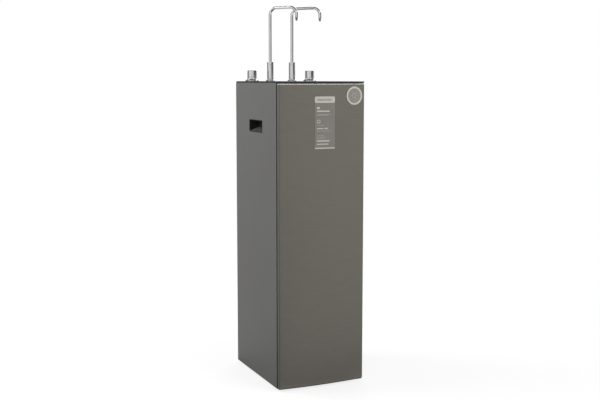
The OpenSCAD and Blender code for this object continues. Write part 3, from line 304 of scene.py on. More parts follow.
# Acetal, moulded: waxy blue.
BLUE = Finish("moulded_blue_acetal", Slot.BLUE_PLASTIC, "#416fa5", 0.38, ior=1.48,
              layers=(mottle(40, "#386296"), grain(0.8, 0.08, 0.01)))
# Brass, turned: warm metal with tool rings 0.5 mm apart.
BRASS = Finish("turned_brass", Slot.BRASS, "#bf9f58", 0.26, 1.0,
               layers=(Layer(CLOUD, (12, 12, 0.5), "#a98843", 0.5, 0.12, 0.004), mottle(20, "#b08f4a", 0.4)))
# Polyethylene foam, blown: matt, closed cells of 2 mm.
FOAM = Finish("closed_cell_polyethylene_foam", Slot.FOAM, "#cdcac0", 0.93, layers=(
    Layer(CELL, (2.2, 2.2, 2.2), "#b9b5a9", 0.5, relief=0.15, span=(0.0, 1.0)), mottle(60, "#c0bcb0", 0.5)))
# Polyester film, satin: paler than the door, with a faint emboss.
FILM = Finish("satin_polyester_label_film", Slot.LABEL_FILM, "#8b8881", 0.36,
              layers=(Layer(CLOUD, (55, 55, 75), "#827f78", 0.6), grain(0.9, 0.1, 0.008)))
# The same film on the badge, a little greener.
BADGE_FILM = Finish("satin_polyester_badge_film", Slot.LABEL_FILM, "#8f8e85", 0.4,
                    layers=(mottle(9, "#87867c"), grain(0.9, 0.1, 0.008)))


def paper_sleeve(word: str, colour: str, tint: str) -> Finish:
    """Gives paper, printed in one colour and varnished: a plain band that tells a cartridge apart."""
    return Finish(f"varnished_{word}_paper_sleeve", Slot.WHITE_PLASTIC, colour, 0.45,
                  layers=(Layer(CLOUD, (40, 40, 60), tint, 0.6), grain(0.8, 0.1, 0.006)))


def screen_ink(word: str, colour: str, tint: str) -> Finish:
    """Gives ink, screen printed: a flat print with a slight edge."""
    return Finish(f"screen_printed_{word}_ink", Slot.LABEL_FILM, colour, 0.5,
                  layers=(mottle(16, tint), grain(0.5, 0.1, 0.006)))


BLUE_SLEEVE = paper_sleeve("blue", "#4d7fae", "#5a8ab6")
GREY_SLEEVE = paper_sleeve("grey", "#6b6e72", "#777a7e")
GREEN_SLEEVE = paper_sleeve("green", "#5f9480", "#6b9f8b")
INK = screen_ink("pale", "#d8d4cc", "#d3cfc6")
SOFT_INK = screen_ink("grey", "#b4b0a8", "#aaa69e")


def lowest(node: str) -> Vector:
    """Gives the lowest corner of a CAD node in millimetres."""
    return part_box(node)[0] / MM


def highest(node: str) -> Vector:
    """Gives the highest corner of a CAD node in millimetres."""
    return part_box(node)[1] / MM


def centre(node: str) -> Vector:
    """Gives the middle of a CAD node's box in millimetres."""
    return (lowest(node) + highest(node)) / 2


def corners(node: str) -> Box:
    """Gives the lowest and the highest corner of a CAD node in millimetres."""
    return tuple(lowest(node)), tuple(highest(node))


def four(low: Flat | Spot, high: Flat | Spot, inset: float) -> list[Flat]:
    """Gives the four points that lie in from the corners of a rectangle."""
    return list(product((low[0] + inset, high[0] - inset), (low[1] + inset, high[1] - inset)))


def pivot(joint: str) -> Vector:
    """Gives the place of a joint in millimetres."""
    return next(Vector(j["pos_m"]) / MM for j in frame["joints"] if j["name"] == joint)


def mount(name: str) -> Flat:
    """Gives the X and Z of a mount on the back in millimetres."""
    x, _, z = next(m["pos_m"] for m in frame["record"]["mounts"] if m["name"] == name)
    return x / MM, z / MM


def quarter(steps: int) -> list[float]:
    """Gives angles spread evenly over a quarter turn."""
    return [FULL_TURN / 4 * k / steps for k in range(steps + 1)]


def turns(steps: int) -> list[float]:
    """Gives angles spread evenly over a full turn."""
    return [FULL_TURN * k / steps for k in range(steps)]


def arc(at: Flat, r: float, steps: int, start: float = 0.0) -> Loop:
    """Gives a quarter circle round a point, from a starting angle."""
    return [(at[0] + r * math.cos(start + t), at[1] + r * math.sin(start + t)) for t in quarter(steps)]


def ring_loop(r: float, at: Flat = (0.0, 0.0), steps: int = 40) -> Loop:
    """Gives the loop of a circle round a point."""
    return [(at[0] + r * math.cos(t), at[1] + r * math.sin(t)) for t in turns(steps)]


def round_rect(w: float, h: float, r: float, at: Flat = (0.0, 0.0)) -> Loop:
    """Gives the loop of a rounded rectangle.

    Args:
        w: Width.
        h: Height.
        r: Corner radius.
        at: Its middle.

    Returns:
        Points in turn, the other way to a clock.
    """
    loop: Loop = []
    for number, (a, b) in enumerate(((1, 1), (-1, 1), (-1, -1), (1, -1))):
        corner = (at[0] + a * (w / 2 - r), at[1] + b * (h / 2 - r))
        loop += arc(corner, r, CORNER_STEPS, number * FULL_TURN / 4)
    return loop


def bent_path(points: list[Spot], bend: float, steps: int) -> list[Vector]:
    """Rounds the corners of a path.

    Args:
        points: Corners of the path.
        bend: Radius of its bends.
        steps: Pieces in a bend.

    Returns:
        Points of the path, close together in the bends.
    """
    turns_at = [Vector(p) for p in points]
    path = [turns_at[0]]
    for before, corner, after in zip(turns_at, turns_at[1:], turns_at[2:]):
        a = (corner - before).normalized()
        b = (after - corner).normalized()
        middle = corner - a * bend + b * bend
        path += [middle - b * bend * math.cos(turn) + a * bend * math.sin(turn) for turn in quarter(steps)]
    path.append(turns_at[-1])
    return path


def flare(inner: float, outer: float, base: float) -> Loop:
    """Gives the hollow curve from a wide foot up to a narrow neck.

    Args:
        inner: Radius of the neck.
        outer: Radius of the foot.
        base: Height at which the curve starts.

    Returns:
        Radius and height of each ring after the first.
    """
    wide = outer - inner
    angles = quarter(FLARE_STEPS)[1:]
    return [(inner + wide * (1 - math.sin(t)), base + wide * (1 - math.cos(t))) for t in angles]


def groove(r: float, low: float, high: float, deep: float, slope: float) -> Loop:
    """Gives the rings of a groove in a turned body, with flanks that each take up a height of slope."""
    return [(r, low), (r - deep, low + slope), (r - deep, high - slope), (r, high)]


def band(inner: float, outer: float, low: float, high: float, slope: float = 0.2) -> Loop:
    """Gives the closed section of a thin band round a turned body, with edges that slope."""
    return [(inner, low), (outer, low + slope), (outer, high - slope), (inner, high), (inner, low)]


def upright(x: float, y: float, z: float) -> Matrix:
    """Gives the place of a turned body that stands up from a point."""
    return Matrix.Translation((x, y, z))


def facing(x: float, y: float, z: float, towards: Spot) -> Matrix:
    """Gives the place of a turned body that stands out from a point in a given direction."""
    return upright(x, y, z) @ Vector(towards).to_track_quat("Z", "Y").to_matrix().to_4x4()


def standing(y: float, z: float) -> Matrix:
    """Gives the place of a flat plate that stands up across the cabinet."""
    return upright(0, y, z) @ Matrix.Rotation(FULL_TURN / 4, 4, "X")


# Radius and height of each ring of a pan-head screw with a round socket.
PAN_HEAD: Loop = [(0, -1), (2.8, -1), (2.8, 0.5), (2.3, 1.3), (1.5, 1.6), (1.2, 1.5), (1.1, 0.7), (0, 0.7)]
# The same of a push-in collet ring round a quarter-inch tube.
COLLET: Loop = [(3.3, 0), (4.9, 0), (4.9, 1.4), (5.4, 1.8), (5.4, 2.9), (5.0, 3.3), (3.3, 3.3), (3.3, 0)]
# Corners of a ring and flutes round it, for a grip.
FLUTED: dict[str, int] = {"steps": 144, "waves": 36}


class Shape:
    """A mesh in the making, in millimetres of the shared frame."""

    rim_steps: int = 2
    rim_angle: float = 50.0

    def __init__(self) -> None:
        """Starts with nothing in it."""
        self.mesh = bmesh.new()

    def absorb(self, other: bmesh.types.BMesh, *places: Matrix) -> "Shape":
        """Takes another mesh in, once at each place, and frees it.

        Args:
            other: Mesh to take in.
            places: Where it goes.

        Returns:
            This shape.
        """
        for place in places:
            moved = other.copy()
            moved.transform(place)
            copy = bpy.data.meshes.new("copy")
            moved.to_mesh(copy)
            moved.free()
            self.mesh.from_mesh(copy)
            bpy.data.meshes.remove(copy)
        other.free()
        return self

    def block(self, low: Spot, high: Spot, edge: float = 0.6, steps: int = 2) -> "Shape":
        """Adds a box with rounded edges.

        Args:
            low: Lowest corner.
            high: Highest corner.
            edge: Radius of its edges.
            steps: Faces across an edge.

        Returns:
            This shape.
        """
        part = bmesh.new()
        bmesh.ops.create_cube(part, size=1.0)
        bmesh.ops.scale(part, vec=Vector(high) - Vector(low), verts=part.verts)
        bmesh.ops.bevel(part, geom=part.edges, offset=edge, segments=steps, profile=0.5, affect="EDGES")
        return self.absorb(part, Matrix.Translation((Vector(low) + Vector(high)) / 2))

    @staticmethod
    def _skin(part: bmesh.types.BMesh, rings: list[list[bmesh.types.BMVert]]) -> None:
        """Joins rings of corners with faces.

        Args:
            part: Mesh that holds the rings.
            rings: Corners of each ring. A ring may be one corner over and over, at a tip.
        """
        for lower, upper in zip(rings, rings[1:]):
            for i in range(len(lower)):
                j = (i + 1) % len(lower)
                face = list(dict.fromkeys((lower[i], lower[j], upper[j], upper[i])))
                if len(face) > 2:
                    part.faces.new(face)

    def turned(self, profile: Loop, *places: Matrix, steps: int = 56, waves: int = 0,
               swell: float = 0.0) -> "Shape":
        """Adds a body turned about the Z axis, once at each place.

        Args:
            profile: Radius and height of each ring, in order.
            places: Where the body goes.
            steps: Corners of a ring.
            waves: Flutes round the body.
            swell: Depth of a flute.

        Returns:
            This shape.
        """
        part = bmesh.new()
        rings = []
        for radius, height in profile:
            if not radius:
                rings.append([part.verts.new((0, 0, height))] * steps)
                continue
            ring = []
            for turn in turns(steps):
                r = radius - swell * (0.5 - 0.5 * math.cos(waves * turn))
                ring.append(part.verts.new((r * math.cos(turn), r * math.sin(turn), height)))
            rings.append(ring)
        self._skin(part, rings)
        if profile[0] == profile[-1]:
            bmesh.ops.remove_doubles(part, verts=part.verts, dist=1e-5)
        else:
            for ring in (rings[0], rings[-1]):
                if len(set(ring)) > 2:
                    part.faces.new(ring)
        bmesh.ops.recalc_face_normals(part, faces=part.faces)
        return self.absorb(part, *places)

    def swept(self, path: list[Vector], radius: float, bore: float, steps: int = 40) -> "Shape":
        """Adds an open round tube along a path.

        Args:
            path: Points of the middle line, close together in bends.
            radius: Outer radius.
            bore: Radius of the bore.
            steps: Corners of the section.

        Returns:
            This shape.
        """
        part = bmesh.new()
        side = (path[1] - path[0]).orthogonal().normalized()
        outer, inner = [], []
        for i, point in enumerate(path):
            ahead = (path[min(i + 1, len(path) - 1)] - path[max(i - 1, 0)]).normalized()
            side = (side - ahead * side.dot(ahead)).normalized()
            across = ahead.cross(side)
            ways = [side * math.cos(turn) + across * math.sin(turn) for turn in turns(steps)]
            outer.append([part.verts.new(point + way * radius) for way in ways])
            inner.append([part.verts.new(point + way * bore) for way in ways])
        self._skin(part, outer + inner[::-1] + outer[:1])
        bmesh.ops.recalc_face_normals(part, faces=part.faces)
        return self.absorb(part, Matrix.Identity(4))

    def plate(self, outline: Loop, holes: list[Loop], thick: float, edge: float, place: Matrix,
              bend: "Bow | None" = None, proud: float = 0.0) -> "Shape":
        """Adds a flat plate with rounded edges and holes.

        Args:
            outline: Outer loop in the XY plane.
            holes: Loops cut out of it.
            thick: Thickness along Z, centred on the plane.
            edge: Radius of its edges.
            place: Where the plate goes.
            bend: Bowed face that the plate lies on instead of a plane.
            proud: How far the plate's middle stands off that face.

        Returns:
            This shape.
        """
        curve = bpy.data.curves.new("outline", "CURVE")
        curve.dimensions = "2D"
        curve.fill_mode = "BOTH"
        curve.extrude = thick / 2 - edge
        curve.bevel_depth = edge
        curve.bevel_resolution = 1
        curve.offset = -edge
        for number, loop in enumerate([outline, *holes]):
            area = sum(a[0] * b[1] - b[0] * a[1] for a, b in zip(loop, loop[1:] + loop[:1]))
            points = loop if (area > 0) == (number == 0) else loop[::-1]
            spline = curve.splines.new("POLY")
            spline.points.add(len(points) - 1)
            spline.points.foreach_set("co", [c for x, y in points for c in (x, y, 0.0, 1.0)])
            spline.use_cyclic_u = True
        holder = bpy.data.objects.new("outline", curve)
        drawn = bpy.data.meshes.new_from_object(holder)
        bpy.data.objects.remove(holder)
        bpy.data.curves.remove(curve)
        part = bmesh.new()
        part.from_mesh(drawn)
        bpy.data.meshes.remove(drawn)
        bmesh.ops.remove_doubles(part, verts=part.verts, dist=1e-4)
        bmesh.ops.recalc_face_normals(part, faces=part.faces)
        if bend:
            bend.wrap(part, proud)
        return self.absorb(part, place)

    def piece(self, name: str, finish: Finish, *nodes: str, body: str = "cabinet", crease: float = 32.0,
              wall: float = 0.0, rim: float = 0.0) -> None:
        """Makes the object, dresses it and hangs it on its body.

        Args:
            name: Name of the piece.
            finish: Finish that it gets.
            nodes: CAD nodes that it stands for.
            body: Body that carries it.
            crease: Angle in degrees from which an edge looks sharp.
            wall: Thickness given to an open sheet, inwards.
            rim: Radius of the edges of such a sheet.
        """
        data = bpy.data.meshes.new(name)
        self.mesh.transform(Matrix.Scale(MM, 4))
        self.mesh.to_mesh(data)
        self.mesh.free()
        made = bpy.data.objects.new(name, data)
        bpy.context.scene.collection.objects.link(made)
        if wall:
            thicken = made.modifiers.new("wall", "SOLIDIFY")
            thicken.thickness = wall * MM
            thicken.offset = -1.0
            thicken.use_even_offset = True
            soften = made.modifiers.new("rim", "BEVEL")
            soften.width = rim * MM
            soften.segments = self.rim_steps
            soften.limit_method = "ANGLE"
            soften.angle_limit = math.radians(self.rim_angle)
            self._settle(made)
        made.data.polygons.foreach_set("use_smooth", [True] * len(made.data.polygons))
        made.data.set_sharp_from_angle(angle=math.radians(crease))
        level = made.modifiers.new("level", "WEIGHTED_NORMAL")
        level.keep_sharp = True
        self._settle(made)
        made.data.materials.clear()
        made.data.materials.append(finish.material())
        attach(made, body)
        if nodes:
            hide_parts(*nodes)
        log.info("%s: %s on %s, %d faces", name, finish.name, body, len(made.data.polygons))

    @staticmethod
    def _settle(made: bpy.types.Object) -> None:
        """Turns what an object's modifiers make into its mesh.

        Args:
            made: Object to settle.
        """
        bpy.context.view_layer.update()
        seen = made.evaluated_get(bpy.context.evaluated_depsgraph_get())
        before, made.data = made.data, bpy.data.meshes.new_from_object(seen)
        made.modifiers.clear()
        bpy.data.meshes.remove(before)
        made.data.name = made.name


def dress(finish: Finish, *nodes: str) -> None:
    """Gives CAD nodes that keep their shape a finish.

    Args:
        finish: Finish that they get.
        nodes: Names of the nodes.
    """
    for name in nodes:
        data = frame["nodes"][name].data
        data.materials.clear()
        data.materials.append(finish.material())
        log.info("%s: %s on the CAD solid", name, finish.name)


@dataclass
class Bow:
    """Plan of the bowed front, which the door's face and the top plate's edge share."""

    half_w: float = highest("door_skin").x
    front_y: float = lowest("door_top_trim").y
    fold_y: float = highest("door_skin").y
    sag: float = 8.0
    edge_r: float = 6.0
    edge_steps: int = 8
    half_steps: int = 30
    cut: float = 5.0

    @property
    def radius(self) -> float:
        """Gives the radius of the bow from its width and its sag."""
        return (self.half_w ** 2 + self.sag ** 2) / (2 * self.sag)

    @property
    def middle_y(self) -> float:
        """Gives the Y of the bow's middle point."""
        return self.front_y + self.radius

    def plan(self) -> Loop:
        """Gives the outer face in plan.

        Returns:
            Points in X and Y from the left fold round the front to the right fold.
        """
        inner = self.half_w - self.edge_r
        reach = self.radius - self.edge_r
        edge_y = self.middle_y - math.sqrt(reach ** 2 - inner ** 2)
        lean = math.asin(inner / reach)
        half = [(self.half_w, self.fold_y)]
        for k in range(self.edge_steps + 1):
            turn = (FULL_TURN / 4 - lean) * k / self.edge_steps
            half.append((inner + self.edge_r * math.cos(turn), edge_y - self.edge_r * math.sin(turn)))
        for k in range(1, self.half_steps + 1):
            turn = lean * (1 - k / self.half_steps)
            half.append((self.radius * math.sin(turn), self.middle_y - self.radius * math.cos(turn)))
        return [(-x, y) for x, y in half[:-1]] + half[::-1]

    def wrap(self, part: bmesh.types.BMesh, proud: float) -> None:
        """Lays a flat mesh on the face: its X and Y become X and Z, and its Z stands out.

        Args:
            part: Mesh to lay on the face.
            proud: How far the mesh's plane stands off the face.
        """
        xs = [v.co.x for v in part.verts]
        at = math.ceil(min(xs) / self.cut) * self.cut
        while at < max(xs):
            everything = part.verts[:] + part.edges[:] + part.faces[:]
            bmesh.ops.bisect_plane(part, geom=everything, dist=1e-4, plane_co=(at, 0, 0), plane_no=ACROSS)
            at += self.cut
        bmesh.ops.remove_doubles(part, verts=part.verts, dist=3e-3)
        for v in part.verts:
            out = self.radius + proud + v.co.z
            v.co = Vector((v.co.x, self.middle_y - math.sqrt(out ** 2 - v.co.x ** 2), v.co.y))
        bmesh.ops.recalc_face_normals(part, faces=part.faces)


@dataclass(frozen=True)
class Lamp:
    """A square soft box that faces a point."""

    name: str
    at: Spot
    aim: Spot
    size: float
    power: float


@dataclass(frozen=True)
class Board:
    """A board that faces a point and that only mirrors see."""

    name: str
    at: Spot
    aim: Spot
    size: Pair
    colour: str


@dataclass
class Studio:
    """Camera, lamps, white floor and the boards that glossy surfaces mirror."""

    camera_at: Spot = (-1291.0, -2837.0, 985.0)
    yaw: float = 24.55
    tilt: float = 6.21
    sensor: float = 36.0
    lens: float = 56.418
    shift: float = -0.03
    floor_half: float = 9000.0
    fade: Pair = (700.0, 1700.0)
    glow: float = 0.78
    world_level: float = 0.40
    white: str = "#ffffff"
    paper: str = "#fafafa"
    paper_bounce: str = "#4e4c49"
    paper_roughness: float = 0.9
    lamps: tuple[Lamp, ...] = (
        Lamp("side_softbox", (-2700, 1500, 2700), (-150, 40, 800), 2300, 112.0),
        Lamp("front_softbox", (1700, -2700, 2700), (0, -170, 600), 2300, 84.0),
        Lamp("rear_softbox", (1500, 2500, 2300), (60, 100, 600), 1800, 40.0))
    boards: tuple[Board, ...] = (
        Board("rear_board", (1300, 2600, 1500), (1300, 144, 1500), (3000, 3600), "#303030"),
        Board("rear_left_board", (-1500, 2500, 1500), (-1500, 144, 1500), (2400, 3600), "#989898"),
        Board("right_board", (1497, -1026, 1700), (0, 144, 1700), (3190, 1430), "#626262"),
        Board("left_floor_board", (-1275, -675, 8), (-1275, -675, 900), (2250, 1750), "#787878"),
        Board("rear_floor_board", (-1300, 1500, 8), (-1300, 1500, 900), (2400, 2600), "#d4d4d4"),
        Board("front_floor_board", (200, -300, 8), (200, -300, 900), (800, 200), "#a8a8a8"),
        Board("left_board", (-2000, 1050, 1500), (0, 144, 1100), (1200, 3000), "#a8a8a8"),
        Board("ceiling_board", (0, 0, 3300), (0, 1, 1100), (5200, 5200), "#7a7a7a"),
        Board("front_board", (-1600, -3900, 1500), (0, 144, 1500), (2600, 3000), "#e6e6e6"))

    def build(self) -> None:
        """Makes the camera, the world, the lamps, the floor and the boards."""
        bpy.context.scene.view_settings.view_transform = "Standard"
        self._camera()
        self._world()
        self._floor()
        for lamp in self.lamps:
            data = bpy.data.lights.new(lamp.name, "AREA")
            data.size = lamp.size * MM
            data.energy = lamp.power
            self._hang(bpy.data.objects.new(lamp.name, data), lamp.at, lamp.aim)
        for board in self.boards:
            self._board(board)

    @staticmethod
    def _hang(thing: bpy.types.Object, at: Spot, aim: Spot) -> None:
        """Puts a camera, lamp or board in place.

        Args:
            thing: What is hung.
            at: Its place.
            aim: Point that it faces.
        """
        bpy.context.scene.collection.objects.link(thing)
        thing.location = Vector(at) * MM
        thing.rotation_mode = "QUATERNION"
        thing.rotation_quaternion = (Vector(aim) - Vector(at)).to_track_quat("-Z", "Y")

    @staticmethod
    def _sheet(name: str, half: Pair) -> bpy.types.Object:
        """Makes a flat rectangle for the floor or a board.

        Args:
            name: Its name.
            half: Half its width and half its height in millimetres.

        Returns:
            The new object.
        """
        w, h = half[0] * MM, half[1] * MM
        data = bpy.data.meshes.new(name)
        data.from_pydata([(-w, -h, 0), (w, -h, 0), (w, h, 0), (-w, h, 0)], [], [(0, 1, 2, 3)])
        material = bpy.data.materials.new("matt_" + name)
        material.use_nodes = True
        data.materials.append(material)
        made = bpy.data.objects.new(name, data)
        return made

    def _camera(self) -> None:
        """Puts the camera where it sees the purifier as the photograph does."""
        data = bpy.data.cameras.new("camera")
        data.sensor_width = self.sensor
        data.lens = self.lens
        data.shift_y = self.shift
        camera = bpy.data.objects.new("camera", data)
        yaw, tilt = math.radians(self.yaw), math.radians(self.tilt)
        ahead = Vector((math.sin(yaw) * math.cos(tilt), math.cos(yaw) * math.cos(tilt), -math.sin(tilt)))
        self._hang(camera, self.camera_at, tuple(Vector(self.camera_at) + ahead))
        bpy.context.scene.camera = camera

    @staticmethod
    def _seen(tree: Tree) -> bpy.types.NodeSocket:
        """Tells the light that reaches an eye from the light that falls on things.

        Args:
            tree: Node tree of the world or of the floor.

        Returns:
            One for a ray from the camera, a mirror or a clear thing, and zero for any other.
        """
        rays = add_node(tree, "ShaderNodeLightPath", {}, {}).outputs
        seen = rays["Is Camera Ray"]
        for kind in ("Is Glossy Ray", "Is Transmission Ray"):
            either = add_node(tree, "ShaderNodeMath", {"operation": "MAXIMUM"}, {0: seen, 1: rays[kind]})
            seen = either.outputs[0]
        return seen

    def _world(self) -> None:
        """Lights the scene softly and shows white to the camera, mirrors and clear things."""
        world = bpy.data.worlds.new("studio")
        bpy.context.scene.world = world
        world.use_nodes = True
        tree = world.node_tree
        soft = tree.nodes["Background"]
        feed(tree, soft, {"Color": linear(self.white), "Strength": self.world_level})
        bright = add_node(tree, "ShaderNodeBackground", {}, {"Color": linear(self.white), "Strength": 1.0})
        mix = add_node(tree, "ShaderNodeMixShader", {},
                       {0: self._seen(tree), 1: soft.outputs[0], 2: bright.outputs[0]})
        feed(tree, tree.nodes["World Output"], {"Surface": mix.outputs[0]})

    def _floor(self) -> None:
        """Lays the white paper, which keeps the shadow near the purifier and fades to white further off."""
        floor = self._sheet("paper_floor", (self.floor_half, self.floor_half))
        bpy.context.scene.collection.objects.link(floor)
        tree = floor.data.materials[0].node_tree
        seen = self._seen(tree)
        tone = add_node(tree, "ShaderNodeMix", {"data_type": "RGBA"},
                        {0: seen, 6: linear(self.paper_bounce), 7: linear(self.paper)})
        paper = tree.nodes["Principled BSDF"]
        feed(tree, paper, {"Base Color": tone.outputs[2], "Roughness": self.paper_roughness,
                           "Specular IOR Level": 0.0})
        place = add_node(tree, "ShaderNodeTexCoord", {}, {})
        far = add_node(tree, "ShaderNodeVectorMath", {"operation": "LENGTH"}, {0: place.outputs["Object"]})
        near, clear = self.fade
        rise = add_node(tree, "ShaderNodeMapRange", {"interpolation_type": "SMOOTHSTEP"},
                        {"Value": far.outputs["Value"], "From Min": near * MM, "From Max": clear * MM,
                         "To Min": self.glow})
        share = add_node(tree, "ShaderNodeMath", {"operation": "MULTIPLY"}, {0: rise.outputs[0], 1: seen})
        white = add_node(tree, "ShaderNodeEmission", {}, {"Color": linear(self.white), "Strength": 1.0})
        mix = add_node(tree, "ShaderNodeMixShader", {},
                       {0: share.outputs[0], 1: paper.outputs[0], 2: white.outputs[0]})
        feed(tree, tree.nodes["Material Output"], {"Surface": mix.outputs[0]})

    def _board(self, board: Board) -> None:
        """Hangs a board that only mirrors see.

        Args:
            board: Its place, size and colour.
        """
        made = self._sheet(board.name, (board.size[0] / 2, board.size[1] / 2))
        self._hang(made, board.at, board.aim)
        tree = made.data.materials[0].node_tree
        shown = add_node(tree, "ShaderNodeEmission", {}, {"Color": linear(board.colour), "Strength": 1.0})
        feed(tree, tree.nodes["Material Output"], {"Surface": shown.outputs[0]})
        made.visible_camera = False
        made.visible_diffuse = False
        made.visible_shadow = False
        made.visible_transmission = False


class Side(Enum):
    """Left or right of the cabinet, as a sign along X."""

    LEFT = -1
    RIGHT = 1

    @property
    def word(self) -> str:
        """Gives the word that the names of that side's nodes start with."""
        return self.name.lower()


@dataclass
class Cabinet:
    """Sheet-metal cabinet with its top plate, frame, handle pockets and feet."""

    half_w: float = highest("right_side_panel").x
    sheet: float = 1.5
    sheet_edge: float = 0.35
    front_y: float = lowest("left_side_panel").y
    back_y: float = highest("left_side_panel").y
    low_z: float = lowest("left_side_panel").z
    under_z: float = lowest("top_plate").z
    top_z: float = highest("top_plate").z
    top_corner: float = 6.0
    top_edge: float = 0.8
    fold_r: float = 3.0
    fold_in: float = 7.0
    handle_w: float = highest("left_handle_pocket").y - lowest("left_handle_pocket").y + 0.1
    handle_h: float = 40.1
    handle_corner: float = 4.0
    handle_depth: float = 30.0
    handle_rise: float = 13.0
    handle_wall: float = 2.0
    handle_draft: float = 8.0
    pad: float = 0.9
    pad_edge: float = 0.3
    pad_lift: float = 0.4
    # How far the pad stays off the pocket's mouth and off its end.
    pad_in: Pair = (1.0, 0.6)
    tap_hole: float = 6.05
    knob_hole: float = 8.05
    foot_r: float = 18.0
    foot_h: float = 6.0
    # Radius of the plug that holds a foot, and its top.
    foot_plug: Pair = (4.0, 13.0)
    screw_x: float = 141.0
    screw_rows: tuple[float, ...] = (60.0, 290.0, 520.0, 750.0, 930.0)
    hinge_screws: Pair = (8.0, 18.0)
    bow: Bow = field(default_factory=Bow)

    def build(self) -> None:
        """Makes and dresses every piece of the cabinet."""
        for side in Side:
            self._side_panel(side)
            self._pocket_pad(side)
        self._top_plate()
        self._feet()
        self._screws()
        dress(BLACK_ABS, "base_plate", "catch_magnet")
        dress(ZINC, "corner_posts", "top_rails", "tank_shelf", "hinge_brackets", "hinge_pins")
        dress(WHITE_POWDER, "filter_mounting_plate")
        # The pockets' deeper black is painted shade for the shadow inside them.
        dress(POCKET_SHADE_ABS, "left_handle_pocket", "right_handle_pocket")

    def _side_panel(self, side: Side) -> None:
        """Folds one side panel from sheet, with its handle opening and rear flange.

        Args:
            side: Which panel.
        """
        s = side.value
        shape = Shape()
        bm = shape.mesh
        fold_y = self.back_y - self.fold_r
        outline = ((self.front_y, self.low_z), (fold_y, self.low_z),
                   (fold_y, self.under_z), (self.front_y, self.under_z))
        handle = (centre("left_handle_pocket").y, lowest("left_handle_pocket").z + self.handle_h / 2)
        opening = round_rect(self.handle_w, self.handle_h, self.handle_corner, handle)
        rings = [[bm.verts.new((s * self.half_w, y, z)) for y, z in loop] for loop in (outline, opening)]
        rims = [bm.edges.new(pair) for ring in rings for pair in zip(ring, ring[1:] + ring[:1])]
        bmesh.ops.triangle_fill(bm, use_beauty=True, use_dissolve=False, edges=rims)
        low, high = rings[0][1], rings[0][2]
        inner_x = self.half_w - self.fold_r
        fold = arc((inner_x, fold_y), self.fold_r, FOLD_STEPS)[1:]
        for x, y in fold + [(inner_x - self.fold_in, self.back_y)]:
            below = bm.verts.new((s * x, y, self.low_z))
            above = bm.verts.new((s * x, y, self.under_z))
            bm.faces.new((low, below, above, high))
            low, high = below, above
        bmesh.ops.recalc_face_normals(bm, faces=bm.faces)
        flat = max(bm.faces, key=lambda face: face.calc_area())
        if flat.normal.x * s < 0:
            bmesh.ops.reverse_faces(bm, faces=bm.faces)
        node = side.word + "_side_panel"
        shape.piece(node + "_sheet", SIDE_PAINT, node, wall=self.sheet, rim=self.sheet_edge)

    def _pocket_pad(self, side: Side) -> None:
        """Lays a grey pad on the sloped floor of one handle pocket: painted light for the light that falls on that
        floor.

        Args:
            side: Which pocket.
        """
        s = side.value
        pocket = side.word + "_handle_pocket"
        slope = Vector((-s * self.handle_depth, 0, self.handle_rise))
        deep, mouth = slope.length, (highest(pocket).y - lowest(pocket).y) / 2 - self.handle_wall
        back = mouth - self.handle_draft
        foot = Vector((s * self.half_w, centre(pocket).y, lowest(pocket).z + self.handle_wall))
        along, across = slope.normalized(), Vector((0, -s, 0))
        turn = Matrix((along, across, along.cross(across))).transposed().to_4x4()
        place = Matrix.Translation(foot) @ turn @ upright(0, 0, self.pad_lift)
        near, far = self.pad_in
        end = deep - far
        outline = [(near, near - mouth), (end, far - back), (end, back - far), (near, mouth - near)]
        shape = Shape().plate(outline, [], self.pad, self.pad_edge, place)
        # The pad's lighter grey is painted light on the pocket's floor.
        shape.piece(side.word + "_pocket_pad", POCKET_LIGHT_PAD)

    def _top_plate(self) -> None:
        """Moulds the black top plate with a soft edge that follows the door's bow."""
        thick = self.top_z - self.under_z
        r = self.top_corner
        corner = arc((self.half_w - r, self.back_y - r), r, FOLD_STEPS)
        outline = self.bow.plan() + corner + [(-x, y) for x, y in corner[::-1]]
        fixed = ((pivot("right_spout_swivel"), self.tap_hole), (pivot("right_knob_turn"), self.knob_hole))
        holes = [ring_loop(hole, (s * at.x, at.y)) for s in (-1, 1) for at, hole in fixed]
        shape = Shape().plate(outline, holes, thick, self.top_edge, upright(0, 0, self.under_z + thick / 2))
        shape.piece("top_plate_moulding", BLACK_GLOSS, "top_plate")

    def _feet(self) -> None:
        """Moulds the four rubber feet with grooved rims and ringed treads."""
        r = self.foot_r
        tread = [(0, 0.8), (5, 0.8), (5.5, 0), (8, 0), (8.5, 0.8), (11, 0.8), (11.5, 0), (r - 1.6, 0)]
        rim = [(r - 0.9, 0.6), (r - 0.6, 1.8), (r - 1.3, 2.2), (r - 1.3, 3.0), (r - 0.5, 3.4), (r, 5.2)]
        neck, top = self.foot_plug
        plug = [(r - 0.5, self.foot_h), (neck, self.foot_h), (neck, top), (0, top)]
        places = [upright(x, y, 0) for x, y in four(*corners("feet"), r)]
        Shape().turned(tread + rim + plug, *places, steps=40).piece("rubber_feet", RUBBER, "feet")

    def _screws(self) -> None:
        """Turns the screws of the mounting plate and of the lower hinge bracket."""
        plate_y = lowest("filter_mounting_plate").y
        spots = product(self.screw_rows, (-self.screw_x, self.screw_x))
        places = [facing(x, plate_y, z, FRONT) for z, x in spots]
        x, z = centre("hinge_brackets").x, lowest("hinge_brackets").z
        places += [facing(x, self.front_y + behind, z, DOWN) for behind in self.hinge_screws]
        Shape().turned(PAN_HEAD, *places, steps=24).piece("frame_screws", PLATED)


